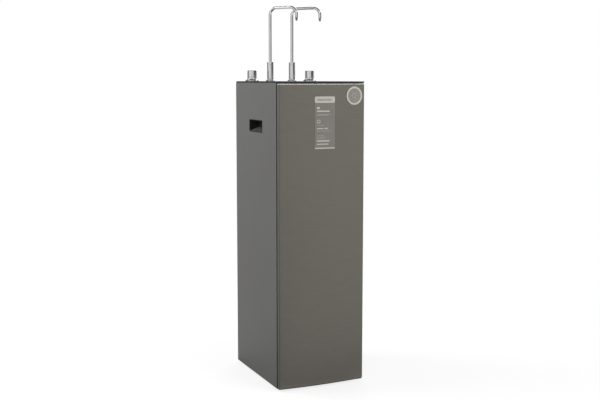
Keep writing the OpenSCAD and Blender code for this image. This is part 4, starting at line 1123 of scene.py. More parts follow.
@dataclass
class Door:
    """Bowed steel door on a hollow black core, with its trim, liner, label and badge."""

    skin: float = 1.5
    skin_edge: float = 0.4
    low_z: float = lowest("door_skin").z
    skin_top_z: float = highest("door_skin").z
    top_z: float = highest("door_top_trim").z
    back_y: float = highest("door_core").y
    liner: Pair = (224.0, 900.0)
    liner_thick: float = 0.7
    liner_edge: float = 0.3
    # Corner radii of the liner, of its border and of the opening in the border.
    liner_corners: Triple = (12.0, 9.0, 6.0)
    bead: float = 7.0
    bead_thick: float = 1.2
    bead_edge: float = 0.5
    bead_stand: float = 0.8
    bead_gap: float = 12.0
    beads: int = 4
    buffer_in: Pair = (10.0, 50.0)
    label: Box = corners("label_plate")
    label_in: float = 7.0
    label_corner: float = 3.0
    # How far a layer of the label or the badge stands off the door's face, and its thickness.
    film: Pair = (0.3, 0.4)
    prints: Pair = (0.53, 0.08)
    strip_print: Pair = (0.56, 0.08)
    disc: Pair = (0.55, 0.9)
    rim: Pair = (1.0, 0.6)
    pattern: Pair = (1.05, 0.16)
    # Share of a layer's thickness that its rounded edge takes.
    layer_edge: float = 0.3
    head_bar: float = 20.0
    head_corner: float = 4.5
    strip_in: float = 10.0
    strip_h: float = 7.0
    strip_corner: float = 1.2
    strip_shift: Flat = (-2.0, -0.5)
    foot_bar: float = 4.0
    foot_corner: float = 1.2
    foot_lift: float = 0.1
    # Radius, hole and drop from the label's top of the ring.
    ring: Triple = (6.0, 4.2, 78.0)
    # Start, drop from the label's top, length and height of each pale bar.
    pale_bars: tuple[tuple[float, ...], ...] = (
        (0, 36, 10, 7), (0, 46, 44, 4), (0, 100, 22, 3.4), (26, 100, 12, 3.4),
        (0, 139, 44, 4), (0, 149, 40, 3))
    # Drop from the label's top and length of each grey line.
    grey_lines: tuple[Pair, ...] = (
        (56, 50), (58.5, 38), (90, 26), (108, 50), (122, 24), (127, 32), (132, 28))
    grey_line: float = 1.6
    grey_corner: float = 0.5
    badge_at: Flat = (centre("round_badge").x, centre("round_badge").z)
    badge_r: float = highest("round_badge").x - centre("round_badge").x
    badge_in: float = 0.6
    badge_rim: float = 6.0
    # Outer and inner radius of the badge's plain ring.
    badge_ring: Pair = (16.2, 14.6)
    dots: int = 24
    dots_r: float = 20.0
    dot_r: float = 1.3
    # Distance from the badge's middle and angle of each corner of a leaf.
    leaf: tuple[Pair, ...] = ((3, 0), (7, -0.28), (10, -0.2), (12.4, 0), (10, 0.2), (7, 0.28))
    leaves: int = 8
    body: str = "door"
    bow: Bow = field(default_factory=Bow)

    def build(self) -> None:
        """Makes and dresses every piece of the door."""
        self._folded("door_skin_sheet", self.low_z, self.skin_top_z, DOOR_STEEL, "door_skin")
        self._folded("door_trim_strip", self.skin_top_z, self.top_z, TRIM, "door_top_trim")
        dress(BLACK_ABS, "door_core")
        dress(ZINC, "catch_strike")
        dress(WHITE_ABS, "hinge_bushes")
        self._liner()
        self._buffers()
        self._label()
        self._badge()

    def _folded(self, name: str, low: float, high: float, finish: Finish, node: str) -> None:
        """Folds a band of sheet round the front of the door.

        Args:
            name: Name of the piece.
            low: Lower edge.
            high: Upper edge.
            finish: Finish of the band.
            node: CAD node that it stands for.
        """
        shape = Shape()
        bm = shape.mesh
        rows = [[bm.verts.new((x, y, z)) for x, y in self.bow.plan()] for z in (low, high)]
        for i in range(len(rows[0]) - 1):
            bm.faces.new((rows[0][i], rows[0][i + 1], rows[1][i + 1], rows[1][i]))
        bmesh.ops.recalc_face_normals(bm, faces=bm.faces)
        bm.faces.ensure_lookup_table()
        middle = bm.faces[len(rows[0]) // 2]
        if middle.normal.y > 0:
            bmesh.ops.reverse_faces(bm, faces=bm.faces)
        shape.piece(name, finish, node, body=self.body, wall=self.skin, rim=self.skin_edge)

    def _liner(self) -> None:
        """Forms the liner on the door's back, with a raised border and cross beads."""
        w, h = self.liner
        mid = (self.low_z + self.top_z) / 2
        bead = self.bead
        corner, border_corner, inner_corner = self.liner_corners
        flat = standing(self.back_y + self.liner_thick / 2, mid)
        raised = standing(self.back_y + self.bead_stand, mid)
        shape = Shape().plate(round_rect(w, h, corner), [], self.liner_thick, self.liner_edge, flat)
        border = round_rect(w - 2 * bead, h - 2 * bead, border_corner)
        opening = round_rect(w - 4 * bead, h - 4 * bead, inner_corner)
        shape.plate(border, [opening], self.bead_thick, self.bead_edge, raised)
        length = w - 4 * bead - 2 * self.bead_gap
        for k in range(1, self.beads + 1):
            z = (h - 3 * bead) * (k / (self.beads + 1) - 0.5)
            cross = round_rect(length, bead, bead / 2 - 0.1, (0, z))
            shape.plate(cross, [], self.bead_thick, self.bead_edge, raised)
        shape.piece("door_liner", BLACK_ABS, body=self.body)

    def _buffers(self) -> None:
        """Sets two rubber buffers on the door's back, at its free edge."""
        dome = [(0, -0.5), (4.5, -0.5), (4.5, 1.0), (3.8, 1.8), (2.4, 2.1), (0, 2.2)]
        inset, end = self.buffer_in
        x = inset - self.bow.half_w
        places = [facing(x, self.back_y, z, BACK) for z in (self.low_z + end, self.top_z - end)]
        Shape().turned(dome, *places, steps=28).piece("door_buffers", RUBBER, body=self.body)

    def _print(self, name: str, finish: Finish, parts: list[tuple[Loop, list[Loop]]], proud: float,
               thick: float, *nodes: str) -> None:
        """Lays thin flat shapes on the bowed face.

        Args:
            name: Name of the piece.
            finish: Finish of the shapes.
            parts: Outline and holes of each shape, in X and Z.
            proud: How far their middle stands off the face.
            thick: Thickness.
            nodes: CAD nodes that they stand for.
        """
        shape = Shape()
        for outline, holes in parts:
            shape.plate(outline, holes, thick, thick * self.layer_edge, Matrix.Identity(4), self.bow, proud)
        shape.piece(name, finish, *nodes, body=self.body, crease=40.0)

    def _label(self) -> None:
        """Makes the label: film, pale head bar, plain rows and a ring, with no words."""
        (x0, _, z0), (x1, _, z1) = self.label
        w, h = x1 - x0, z1 - z0
        x, left = (x0 + x1) / 2, x0 + self.label_in
        film = round_rect(w, h, self.label_corner, (x, z0 + h / 2))
        self._print("label_film_sheet", FILM, [(film, [])], *self.film, "label_plate")
        bar_z = z1 - self.head_bar / 2
        foot_z = z0 + self.foot_bar / 2 + self.foot_lift
        pale = [(round_rect(w, self.head_bar, self.head_corner, (x, bar_z)), []),
                (round_rect(w, self.foot_bar, self.foot_corner, (x, foot_z)), [])]
        for start, drop, length, height in self.pale_bars:
            at = (left + start + length / 2, z1 - drop)
            pale.append((round_rect(length, height, height / 3, at), []))
        r, hole, ring_drop = self.ring
        ring = (left + r, z1 - ring_drop)
        pale.append((ring_loop(r, ring), [ring_loop(hole, ring)]))
        self._print("label_pale_print", INK, pale, *self.prints)
        grey = [(round_rect(length, self.grey_line, self.grey_corner, (left + length / 2, z1 - drop)), [])
                for drop, length in self.grey_lines]
        self._print("label_grey_print", SOFT_INK, grey, *self.prints)
        aside, up = self.strip_shift
        strip = round_rect(w - 2 * self.strip_in, self.strip_h, self.strip_corner, (x + aside, bar_z + up))
        self._print("label_bar_strip", SOFT_INK, [(strip, [])], *self.strip_print)

    def _badge(self) -> None:
        """Makes the round badge: a raised rim round a disc with a plain ring, dots and leaves."""
        at, r = self.badge_at, self.badge_r
        disc = ring_loop(r - self.badge_in, at, steps=64)
        self._print("badge_disc", BADGE_FILM, [(disc, [])], *self.disc, "round_badge")
        rim = (ring_loop(r, at, steps=72), [ring_loop(r - self.badge_rim, at, steps=72)])
        self._print("badge_rim", INK, [rim], *self.rim)
        outer, inner = self.badge_ring
        pattern = [(ring_loop(outer, at, steps=48), [ring_loop(inner, at, steps=48)])]
        dots = ring_loop(self.dots_r, at, steps=self.dots)
        pattern += [(ring_loop(self.dot_r, dot, steps=10), []) for dot in dots]
        for turn in turns(self.leaves):
            loop = [(at[0] + q * math.cos(turn + a), at[1] + q * math.sin(turn + a)) for q, a in self.leaf]
            pattern.append((loop, []))
        self._print("badge_pattern", SOFT_INK, pattern, *self.pattern)


@dataclass
class Taps:
    """Two swivel gooseneck taps with their barrels, tips and lock nuts."""

    deck_z: float = highest("top_plate").z
    barrel_r: float = 11.0
    barrel_h: float = highest("tap_bodies").z - highest("top_plate").z
    flange_r: float = 15.0
    flange_h: float = 3.0
    stem_r: float = 6.0
    stem_z: float = lowest("tap_bodies").z
    spout_r: float = 5.0
    bore_r: float = 3.8
    fit: float = 0.05
    socket: float = 45.0
    foot_z: float = lowest("left_spout").z
    run_z: float = highest("left_spout").z - spout_r
    bend: float = 24.0
    bend_steps: int = 20
    tip_z: float = lowest("left_spout_tip").z
    tip_h: float = 11.0
    tip_end_r: float = 3.0
    tip_bore_r: float = 2.0
    tip_plug: float = 8.0

    def build(self) -> None:
        """Makes and dresses both taps."""
        self._barrels()
        for side in Side:
            self._spout(side)
            self._tip(side)
        dress(BRASS, "tap_lock_nuts")

    def _barrels(self) -> None:
        """Turns the two barrels: flared foot, ring groove and a stepped collar at the mouth."""
        r, f, h = self.barrel_r, self.flange_r, self.barrel_h
        stem = self.stem_z - self.deck_z
        mouth, floor = self.spout_r + self.fit, h - self.socket
        profile = [(0, stem), (self.stem_r, stem), (self.stem_r, 0)]
        profile += [(f - 0.6, 0), (f, 0.5), (f, 2.5), (f - 0.3, 2.9)]
        profile += flare(r, f, self.flange_h)
        profile += groove(r, 10, 11.6, 0.5, 0.4)
        profile += groove(r, h - 9, h - 7.2, 0.6, 0.4)
        profile += [(r, h - 1.5), (r - 0.45, h - 0.45), (r - 1.5, h)]
        profile += [(mouth + 0.85, h), (mouth + 0.45, h - 0.4), (mouth, h - 0.6), (mouth, floor), (0, floor)]
        places = [upright(*pivot(side.word + "_spout_swivel").xy, self.deck_z) for side in Side]
        Shape().turned(profile, *places, steps=64).piece("tap_barrels", CHROME, "tap_bodies", crease=28.0)

    def _place(self, side: Side) -> tuple[Matrix, float]:
        """Works out how a spout stands at rest.

        Args:
            side: Which spout.

        Returns:
            The place of the spout's own frame, in which its run points along -Y, and its reach.
        """
        foot = pivot(side.word + "_spout_swivel")
        way = centre(side.word + "_spout_tip") - foot
        turn = Matrix.Rotation(math.atan2(way.x, -way.y), 4, "Z")
        return upright(foot.x, foot.y, 0) @ turn, way.xy.length

    def _spout(self, side: Side) -> None:
        """Bends one chrome spout tube.

        Args:
            side: Which spout.
        """
        place, reach = self._place(side)
        points = [(0, 0, self.foot_z), (0, 0, self.run_z), (0, -reach, self.run_z),
                  (0, -reach, self.tip_z + self.tip_h)]
        shape = Shape().swept(bent_path(points, self.bend, self.bend_steps), self.spout_r, self.bore_r)
        shape.mesh.transform(place)
        node = side.word + "_spout"
        shape.piece(node + "_tube", CHROME, node, body=node + "_arm", crease=40.0)

    def _tip(self, side: Side) -> None:
        """Turns one slim tapered nozzle with a ring groove, which plugs into the tube.

        Args:
            side: Which spout.
        """
        place, reach = self._place(side)
        e, b, r, h = self.tip_end_r, self.tip_bore_r, self.spout_r, self.tip_h
        plug, end = self.bore_r - self.fit, h + self.tip_plug
        bore = [(plug, end), (b, end), (b, 0.4), (b + 0.3, 0)]
        taper = [(e - 0.4, 0), (e, 0.4), (r - 0.5, h - 2.4), (r - 0.75, h - 2.1), (r - 0.75, h - 1.5)]
        rim = [(r - 0.2, h - 1.2), (r - 0.05, h - 0.9), (r - 0.05, h), (plug, h), (plug, end)]
        shape = Shape().turned(bore + taper + rim, place @ upright(0, -reach, self.tip_z), steps=40)
        spout = side.word + "_spout"
        shape.piece(side.word + "_tip_nozzle", GREY_ABS, spout + "_tip", body=spout + "_arm")


@dataclass
class Knobs:
    """Two quarter-turn valve knobs on flared skirts, with their spindles and valves."""

    deck_z: float = highest("top_plate").z
    low_z: float = lowest("left_knob").z
    height: float = highest("left_knob").z - lowest("left_knob").z
    knob_r: float = highest("left_knob").x - centre("left_knob").x
    skirt_r: float = highest("knob_skirts").x - pivot("right_knob_turn").x
    skirt_h: float = highest("knob_skirts").z - highest("top_plate").z
    flange_h: float = 3.0
    spindle_r: float = 4.0
    skirt_fit: float = 0.2
    fit: float = 0.05
    socket: float = 16.1
    line_half: float = 0.6
    # How far the line's ends stay off the rim and off the middle.
    line_ends: Pair = (4.0, 1.5)
    # How far the line's foot and face lie under the rim.
    line_under: Pair = (0.9, 0.35)

    def build(self) -> None:
        """Makes and dresses both knobs."""
        self._skirts()
        for side in Side:
            self._knob(side)
        dress(BRASS, "left_spindle", "right_spindle")
        dress(WHITE_ABS, "valve_bodies")

    def _skirts(self) -> None:
        """Turns the two flared skirts."""
        r, f, h, b = self.knob_r, self.skirt_r, self.skirt_h, self.spindle_r + self.skirt_fit
        foot = [(b, 0), (f - 0.6, 0), (f, 0.6), (f, 2.4), (f - 0.4, 2.9)]
        top = [(r, h - 0.4), (r - 0.4, h), (b, h), (b, 0)]
        places = [upright(*pivot(side.word + "_knob_turn").xy, self.deck_z) for side in Side]
        shape = Shape().turned(foot + flare(r, f, self.flange_h) + top, *places, steps=72)
        shape.piece("knob_skirt_rings", CHROME, "knob_skirts", crease=28.0)

    def _knob(self, side: Side) -> None:
        """Turns one knob with a ring groove, a rounded rim, a dished top and a line that shows its turn.

        Args:
            side: Which knob.
        """
        r, h, b, deep = self.knob_r, self.height, self.spindle_r + self.fit, self.socket
        at = pivot(side.word + "_knob_turn")
        place = upright(at.x, at.y, self.low_z)
        socket = [(0, deep), (b, deep), (b, 0), (r - 0.6, 0), (r, 0.6)]
        rim = [(r, h - 2.0), (r - 0.25, h - 1.0), (r - 0.9, h - 0.3), (r - 2.0, h)]
        dish = [(r - 3.2, h), (r - 3.8, h - 0.5), (0, h - 0.7)]
        knob, stem = side.word + "_knob", side.word + "_knob_stem"
        shape = Shape().turned(socket + groove(r, 3.2, 4.4, 0.5, 0.3) + rim + dish, place, steps=96)
        shape.piece(knob + "_cap", CHROME, knob, body=stem, crease=28.0)
        half, (off_rim, off_middle), (low, high) = self.line_half, self.line_ends, self.line_under
        line = Shape().block((-half, off_rim - r, h - low), (half, -off_middle, h - high), 0.15)
        line.mesh.transform(place)
        line.piece(knob + "_line", BLACK_ABS, body=stem)


@dataclass(frozen=True)
class Plumbing:
    """Ports for quarter-inch tube, and the X and Y of the upright tubes that meet them in the front bay."""

    port_r: float = 6.0
    port_len: float = 8.0
    sink: float = 1.0
    riser: Flat = (122.0, -75.7)
    drop: Flat = (97.0, -105.7)

    def port(self, length: float) -> Loop:
        """Gives the profile of a port that stands out from a housing by a length."""
        r = self.port_r
        return [(0, 0), (r, 0), (r, length - 0.7), (r - 0.7, length), (0, length)]


@dataclass(frozen=True)
class Ribs:
    """A row of ribs: the first one's distance from an edge, and their number, pitch and half width."""

    first: float
    count: int
    pitch: float
    half: float

    def spans(self, edge: float) -> list[Pair]:
        """Gives where each rib starts and ends, from the place of the edge."""
        spots = [edge + self.first + k * self.pitch for k in range(self.count)]
        return [(at - self.half, at + self.half) for at in spots]


@dataclass
class Filters:
    """Filter heads, cartridges and membrane housing in the front bay."""

    plate_y: float = lowest("filter_mounting_plate").y
    pre_low: float = lowest("carbon_cartridge").z
    pre_len: float = highest("carbon_cartridge").z - lowest("carbon_cartridge").z
    pre_r: float = highest("carbon_cartridge").x
    pre_y: float = centre("carbon_cartridge").y
    pre_sleeve: Pair = (62.0, 206.0)
    foot_edge: float = 10.0
    pre_ribs: tuple[float, ...] = (-110, -66, -44, -22, 22, 44, 66, 110)
    rib_half: float = 1.5
    rib_in: float = 6.0
    # Foot and top of a rib, from the top of the head.
    rib_z: Pair = (-1.0, 3.0)
    boss_sink: float = 0.2
    collar_r: float = 37.0
    collar_h: float = 12.0
    head: Box = corners("pre_filter_head")
    post: Box = corners("post_filter_head")
    post_xs: tuple[float, ...] = (-84.0, -28.0, 28.0, 84.0)
    post_y: float = centre("post_filter_cartridges").y
    post_foot: float = lowest("post_filter_cartridges").z
    post_len: float = highest("post_filter_cartridges").z - lowest("post_filter_cartridges").z
    post_r: float = 23.0
    post_ports: tuple[float, ...] = (-60.0, 0.0, 60.0)
    post_sleeve: Pair = (48.0, 139.0)
    # Inset across and up of the short head's raised panel, and its front and back from the head's face.
    panel_in: Pair = (12.0, 7.0)
    panel_y: Pair = (-1.4, 1.0)
    mem_z: float = 175.0
    mem_half: float = highest("membrane_housing").x
    mem_r: float = 37.0
    mem_cap_r: float = 40.0
    mem_cap: float = 24.0
    mem_end: float = 4.0
    mem_sleeve: Pair = (-38.0, 38.0)
    pipes: Plumbing = field(default_factory=Plumbing)

    def build(self) -> None:
        """Makes and dresses the filters."""
        self._pre_head()
        sleeves = {"sediment": BLUE_SLEEVE, "carbon": GREY_SLEEVE, "polishing": GREEN_SLEEVE}
        for name, sleeve in sleeves.items():
            self._pre_cartridge(name, sleeve)
        self._post_row()
        self._membrane()
        self._collets()
        dress(BLUE, "membrane_clips")

    def _risers(self) -> list[Flat]:
        """Gives the X and Y of the two upright tubes beside the long head."""
        x, y = self.pipes.riser
        return [(-x, y), (x, y)]

    def _pre_head(self) -> None:
        """Moulds the long head: rounded block, ribbed top, ringed bosses, grip collars and ports."""
        (x0, front, foot), (x1, back, high) = self.head
        low = foot + self.collar_h
        shape = Shape().block((x0, front, low), (x1, back, high), 4.0, 4)
        half, inset, (root, rise) = self.rib_half, self.rib_in, self.rib_z
        for x in self.pre_ribs:
            shape.block((x - half, front + inset, high + root), (x + half, back - inset, high + rise), 0.8)
        boss = [(0, 0), (24, 0), (24, 1.6), (23, 2.6), (19, 2.6), (18, 1.6), (6, 1.2), (5, 2.2), (0, 2.4)]
        r = self.collar_r
        grip = [(30, 0), (r - 0.8, 0), (r, 0.8), (r, self.collar_h - 1), (r - 3, self.collar_h + 0.5)]
        for name in ("sediment", "carbon", "polishing"):
            x = centre(name + "_cartridge").x
            shape.turned(boss, facing(x, front + self.boss_sink, (low + high) / 2, FRONT), steps=48)
            shape.turned(grip, upright(x, self.pre_y, foot), **FLUTED, swell=1.0)
        sink = self.pipes.sink
        ports = [facing(x, y, low + sink, DOWN) for x, y in self._risers()]
        shape.turned(self.pipes.port(self.pipes.port_len + sink), *ports, steps=32)
        shape.piece("pre_filter_head_moulding", WHITE_ABS, "pre_filter_head")

    def _pre_cartridge(self, name: str, sleeve: Finish) -> None:
        """Turns one long cartridge with a rounded foot, ring beads, grip flutes and a plain sleeve.

        Args:
            name: What the cartridge does, as in its node's name.
            sleeve: Finish of its sleeve.
        """
        r, h, edge = self.pre_r, self.pre_len, self.foot_edge
        node = name + "_cartridge"
        place = upright(centre(node).x, self.pre_y, self.pre_low)
        foot = [(0, 2.5), (11, 2.5), (12.5, 0.4)]
        foot += arc((r - edge, edge), edge, FOLD_STEPS, -FULL_TURN / 4)
        waist = groove(r, 36, 227, 0.8, 1) + groove(r, 232, 239, 0.8, 1)
        neck = [(r, 244), (r - 1, 245), (r - 1, h - 4), (r - 2, h - 2), (r - 4, h), (0, h)]
        grip = [(r - 2, 247), (r, 248.5), (r, 282), (r - 2, 284)]
        shape = Shape().turned(foot + waist + neck, place, steps=72)
        shape.turned(grip, place, **FLUTED, swell=0.9)
        shape.piece(node + "_bowl", WHITE_ABS, node)
        paper = band(r - 0.9, r - 0.5, *self.pre_sleeve)
        Shape().turned(paper, place, steps=72).piece(name + "_sleeve", sleeve)

    def _post_row(self) -> None:
        """Moulds the short head and its four capsule cartridges with plain sleeves."""
        (x0, front, low), (x1, back, high) = self.post
        head = Shape().block((x0, front, low), (x1, self.plate_y, high), 3.0, 3)
        (inset, edge), (out, root) = self.panel_in, self.panel_y
        head.block((x0 + inset, front + out, low + edge), (x1 - inset, front + root, high - edge))
        ports = [facing(x, self.plate_y, (low + high) / 2, BACK) for x in self.post_ports]
        head.turned(self.pipes.port(back - self.plate_y), *ports, steps=32)
        head.piece("post_filter_head_moulding", WHITE_ABS, "post_filter_head")
        r, h = self.post_r, self.post_len
        foot = [(0, 0), (6, 0), (7, 0.8), (7, 6), (8, 7), (16, 8.5), (20.5, 11.5), (22.5, 16), (r, 22)]
        waist = groove(r, 38, 148.8, 0.6, 0.8) + groove(r, 154, 158.8, 0.7, 0.8)
        neck = [(r, 170), (r - 1, 176), (18, 181), (12, 183), (11, 184), (11, h), (0, h)]
        places = [upright(x, self.post_y, self.post_foot) for x in self.post_xs]
        capsules = Shape().turned(foot + waist + neck, *places)
        capsules.piece("post_filter_capsules", WHITE_ABS, "post_filter_cartridges")
        paper = band(r - 0.7, r - 0.3, *self.post_sleeve)
        Shape().turned(paper, *places).piece("post_filter_sleeves", BLUE_SLEEVE)

    def _membrane(self) -> None:
        """Turns the membrane housing with ribbed caps, ring beads and its three ports."""
        half, r, cap = self.mem_half, self.mem_r, self.mem_cap_r
        port_x, y = self.pipes.drop
        place = facing(0, y, self.mem_z, ACROSS)
        end, inner = half - self.mem_end, half - self.mem_cap
        tube = [(0, -end), (r, -end)] + groove(r, -78, 78, 0.6, 1) + [(r, end), (0, end)]
        shape = Shape().turned(tube, place, steps=72)
        rim = [(r - 1, inner), (cap - 0.6, inner), (cap, inner + 0.8), (cap, half - 3)]
        face = [(cap - 2, half - 0.8), (cap - 6, half), (14, half), (13, half - 1.4), (0, half - 1.4)]
        rod = self.pipes.port(self.post[1][1] - y)
        for s in (-1, 1):
            shape.turned([(q, s * z) for q, z in rim + face], place, **FLUTED, swell=1.1)
            shape.turned(rod, facing(s * port_x, y, self.mem_z, BACK), steps=32)
        start = r / 2
        drop = self.pipes.port(cap + self.pipes.port_len - start)
        shape.turned(drop, facing(port_x, y, self.mem_z - start, DOWN), steps=32)
        shape.piece("membrane_pressure_tube", WHITE_ABS, "membrane_housing")
        paper = band(r - 0.7, r - 0.2, *self.mem_sleeve)
        Shape().turned(paper, place, steps=72).piece("membrane_sleeve", GREY_SLEEVE)

    def _collets(self) -> None:
        """Turns the collet rings where tubes push into the ports of the front bay."""
        pipes = self.pipes
        under = self.head[0][2] + self.collar_h - pipes.port_len
        foot = self.mem_z - self.mem_cap_r - pipes.port_len
        places = [facing(x, y, under, DOWN) for x, y in self._risers()]
        places.append(facing(*pipes.drop, foot, DOWN))
        places += [upright(*at, highest("pump_head").z) for at in (pipes.riser, pipes.drop)]
        Shape().turned(COLLET, *places, steps=32).piece("front_bay_collets", BLUE)


@dataclass
class PumpAndPower:
    """Booster pump and power supply on the cabinet floor."""

    head: Box = corners("pump_head")
    motor: Box = corners("pump_motor")
    supply: Box = corners("power_supply")
    foot_h: float = 6.0
    foot_in: float = 7.0
    # Inset across and up of the pump head's cover, and its front and back from the head's face.
    cover_in: Pair = (5.0, 6.0)
    cover_y: Pair = (-3.0, 2.0)
    cover_ribs: Ribs = Ribs(15.0, 4, 7.3, 1.0)
    cover_rib_in: float = 16.0
    cover_rib_y: Pair = (-4.2, -2.0)
    bolt_in: Pair = (10.0, 11.0)
    # Half the width of a motor tab, its distance from the middle, and its ends along X and Z.
    tab_half: float = 2.4
    tab_out: float = 9.0
    tab_x: Pair = (-6.0, 2.0)
    tab_z: Pair = (13.0, 13.9)
    case_edge: float = 2.4
    seam_half: float = 0.5
    tongue_in: float = 1.0
    tongue_half: float = 3.0
    supply_ribs: Ribs = Ribs(16.0, 9, 7.0, 1.4)
    supply_rib_in: float = 6.0
    supply_rib_root: float = 1.0
    # How far the ribs stand out of the top and of the front, and how far the front ones stay off the seam.
    supply_rib_out: Pair = (1.6, 1.4)
    supply_rib_end: float = 4.0
    screw_in: float = 7.0
    pipes: Plumbing = field(default_factory=Plumbing)

    def build(self) -> None:
        """Makes and dresses the pump and the power supply."""
        self._pump()
        self._motor()
        self._supply()

    def _pump(self) -> None:
        """Moulds the pump head with its cover, foot and ports, and bolts it together."""
        (end, y0, floor), (x1, y1, top) = self.head
        x0, z0, z1 = self.motor[1][0], floor + self.foot_h, top - self.pipes.port_len
        shape = Shape().block((x0, y0, z0), (x1, y1, z1), 4.0, 4)
        shape.block((end, y0 + self.foot_in, floor), (x1, y1 - self.foot_in, z0), 1.2)
        (inset, edge), (front, back) = self.cover_in, self.cover_y
        shape.block((x0 + inset, y0 + front, z0 + edge), (x1 - inset, y0 + back, z1 - edge), 2.0, 3)
        low, high, (out, root) = z0 + self.cover_rib_in, z1 - self.cover_rib_in, self.cover_rib_y
        for left, right in self.cover_ribs.spans(x0):
            shape.block((left, y0 + out, low), (right, y0 + root, high), 0.7)
        r, long, sink = self.pipes.port_r, self.pipes.port_len, self.pipes.sink
        port = [(0, -sink), (r, -sink), (r, long - 0.6), (r - 0.6, long), (0, long)]
        shape.turned(port, *[upright(*at, z1) for at in (self.pipes.riser, self.pipes.drop)], steps=32)
        shape.piece("pump_head_casting", BLACK_ABS, "pump_head")
        inset, edge = self.bolt_in
        spots = product((x0 + inset, x1 - inset), (z0 + edge, z1 - edge))
        places = [facing(x, y0 + front, z, FRONT) for x, z in spots]
        bolts = Shape().turned([(0, 0), (3.9, 0), (3.9, 0.6), (0, 0.6)], *places, steps=24)
        bolts.turned([(0, 0.4), (3.1, 0.4), (3.1, 2.6), (2.6, 3.1), (0, 3.1)], *places, steps=6)
        bolts.piece("pump_bolts", PLATED)

    def _motor(self) -> None:
        """Turns the motor can with its end bell, crimp grooves, rubber band and two tabs."""
        (x0, y0, z0), (x1, y1, _) = self.motor
        r, long = (y1 - y0) / 2, x1 - x0
        place = facing(x0, y0 + r, z0 + r, ACROSS)
        bell = [(0, 1.4), (6, 1.4), (7, 0.2), (10, 0), (22, 0), (25, 1.2), (27, 4), (r, 8)]
        crimps = groove(r, 13, 16, 0.7, 0.6) + groove(r, long - 14, long - 11, 0.7, 0.6)
        can = Shape().turned(bell + crimps + [(r, long), (0, long)], place, steps=72)
        can.piece("pump_motor_can", PLATED, "pump_motor")
        belt = [(r - 0.5, 32), (r + 0.9, 32.6), (r + 1.2, 34), (r + 1.2, 52), (r + 0.9, 53.4), (r - 0.5, 54)]
        Shape().turned(belt + belt[:1], place, steps=72).piece("pump_motor_band", RUBBER)
        tabs = Shape()
        half, (out, root), (low, high) = self.tab_half, self.tab_x, self.tab_z
        for y in (y0 + r - self.tab_out, y0 + r + self.tab_out):
            tabs.block((x0 + out, y - half, z0 + r + low), (x0 + root, y + half, z0 + r + high), 0.3)
        tabs.piece("pump_motor_tabs", BRASS)

    def _supply(self) -> None:
        """Moulds the power supply in two halves with a seam, cooling ribs and four screws."""
        (x0, y0, z0), (x1, y1, z1) = self.supply
        seam, gap = (z0 + z1) / 2, self.seam_half
        shape = Shape().block((x0, y0, z0), (x1, y1, seam - gap), self.case_edge, 3)
        shape.block((x0, y0, seam + gap), (x1, y1, z1), self.case_edge, 3)
        inner, half = self.tongue_in, self.tongue_half
        shape.block((x0 + inner, y0 + inner, seam - half), (x1 - inner, y1 - inner, seam + half), 0.4)
        inset, root, (top, front) = self.supply_rib_in, self.supply_rib_root, self.supply_rib_out
        for left, right in self.supply_ribs.spans(x0):
            shape.block((left, y0 + inset, z1 - root), (right, y1 - inset, z1 + top))
            shape.block((left, y0 - front, z0 + inset), (right, y0 + root, seam - self.supply_rib_end))
        shape.piece("power_supply_case", BLACK_ABS, "power_supply")
        places = [upright(x, y, z1) for x, y in four((x0, y0), (x1, y1), self.screw_in)]
        Shape().turned(PAN_HEAD, *places, steps=24).piece("power_supply_screws", PLATED)


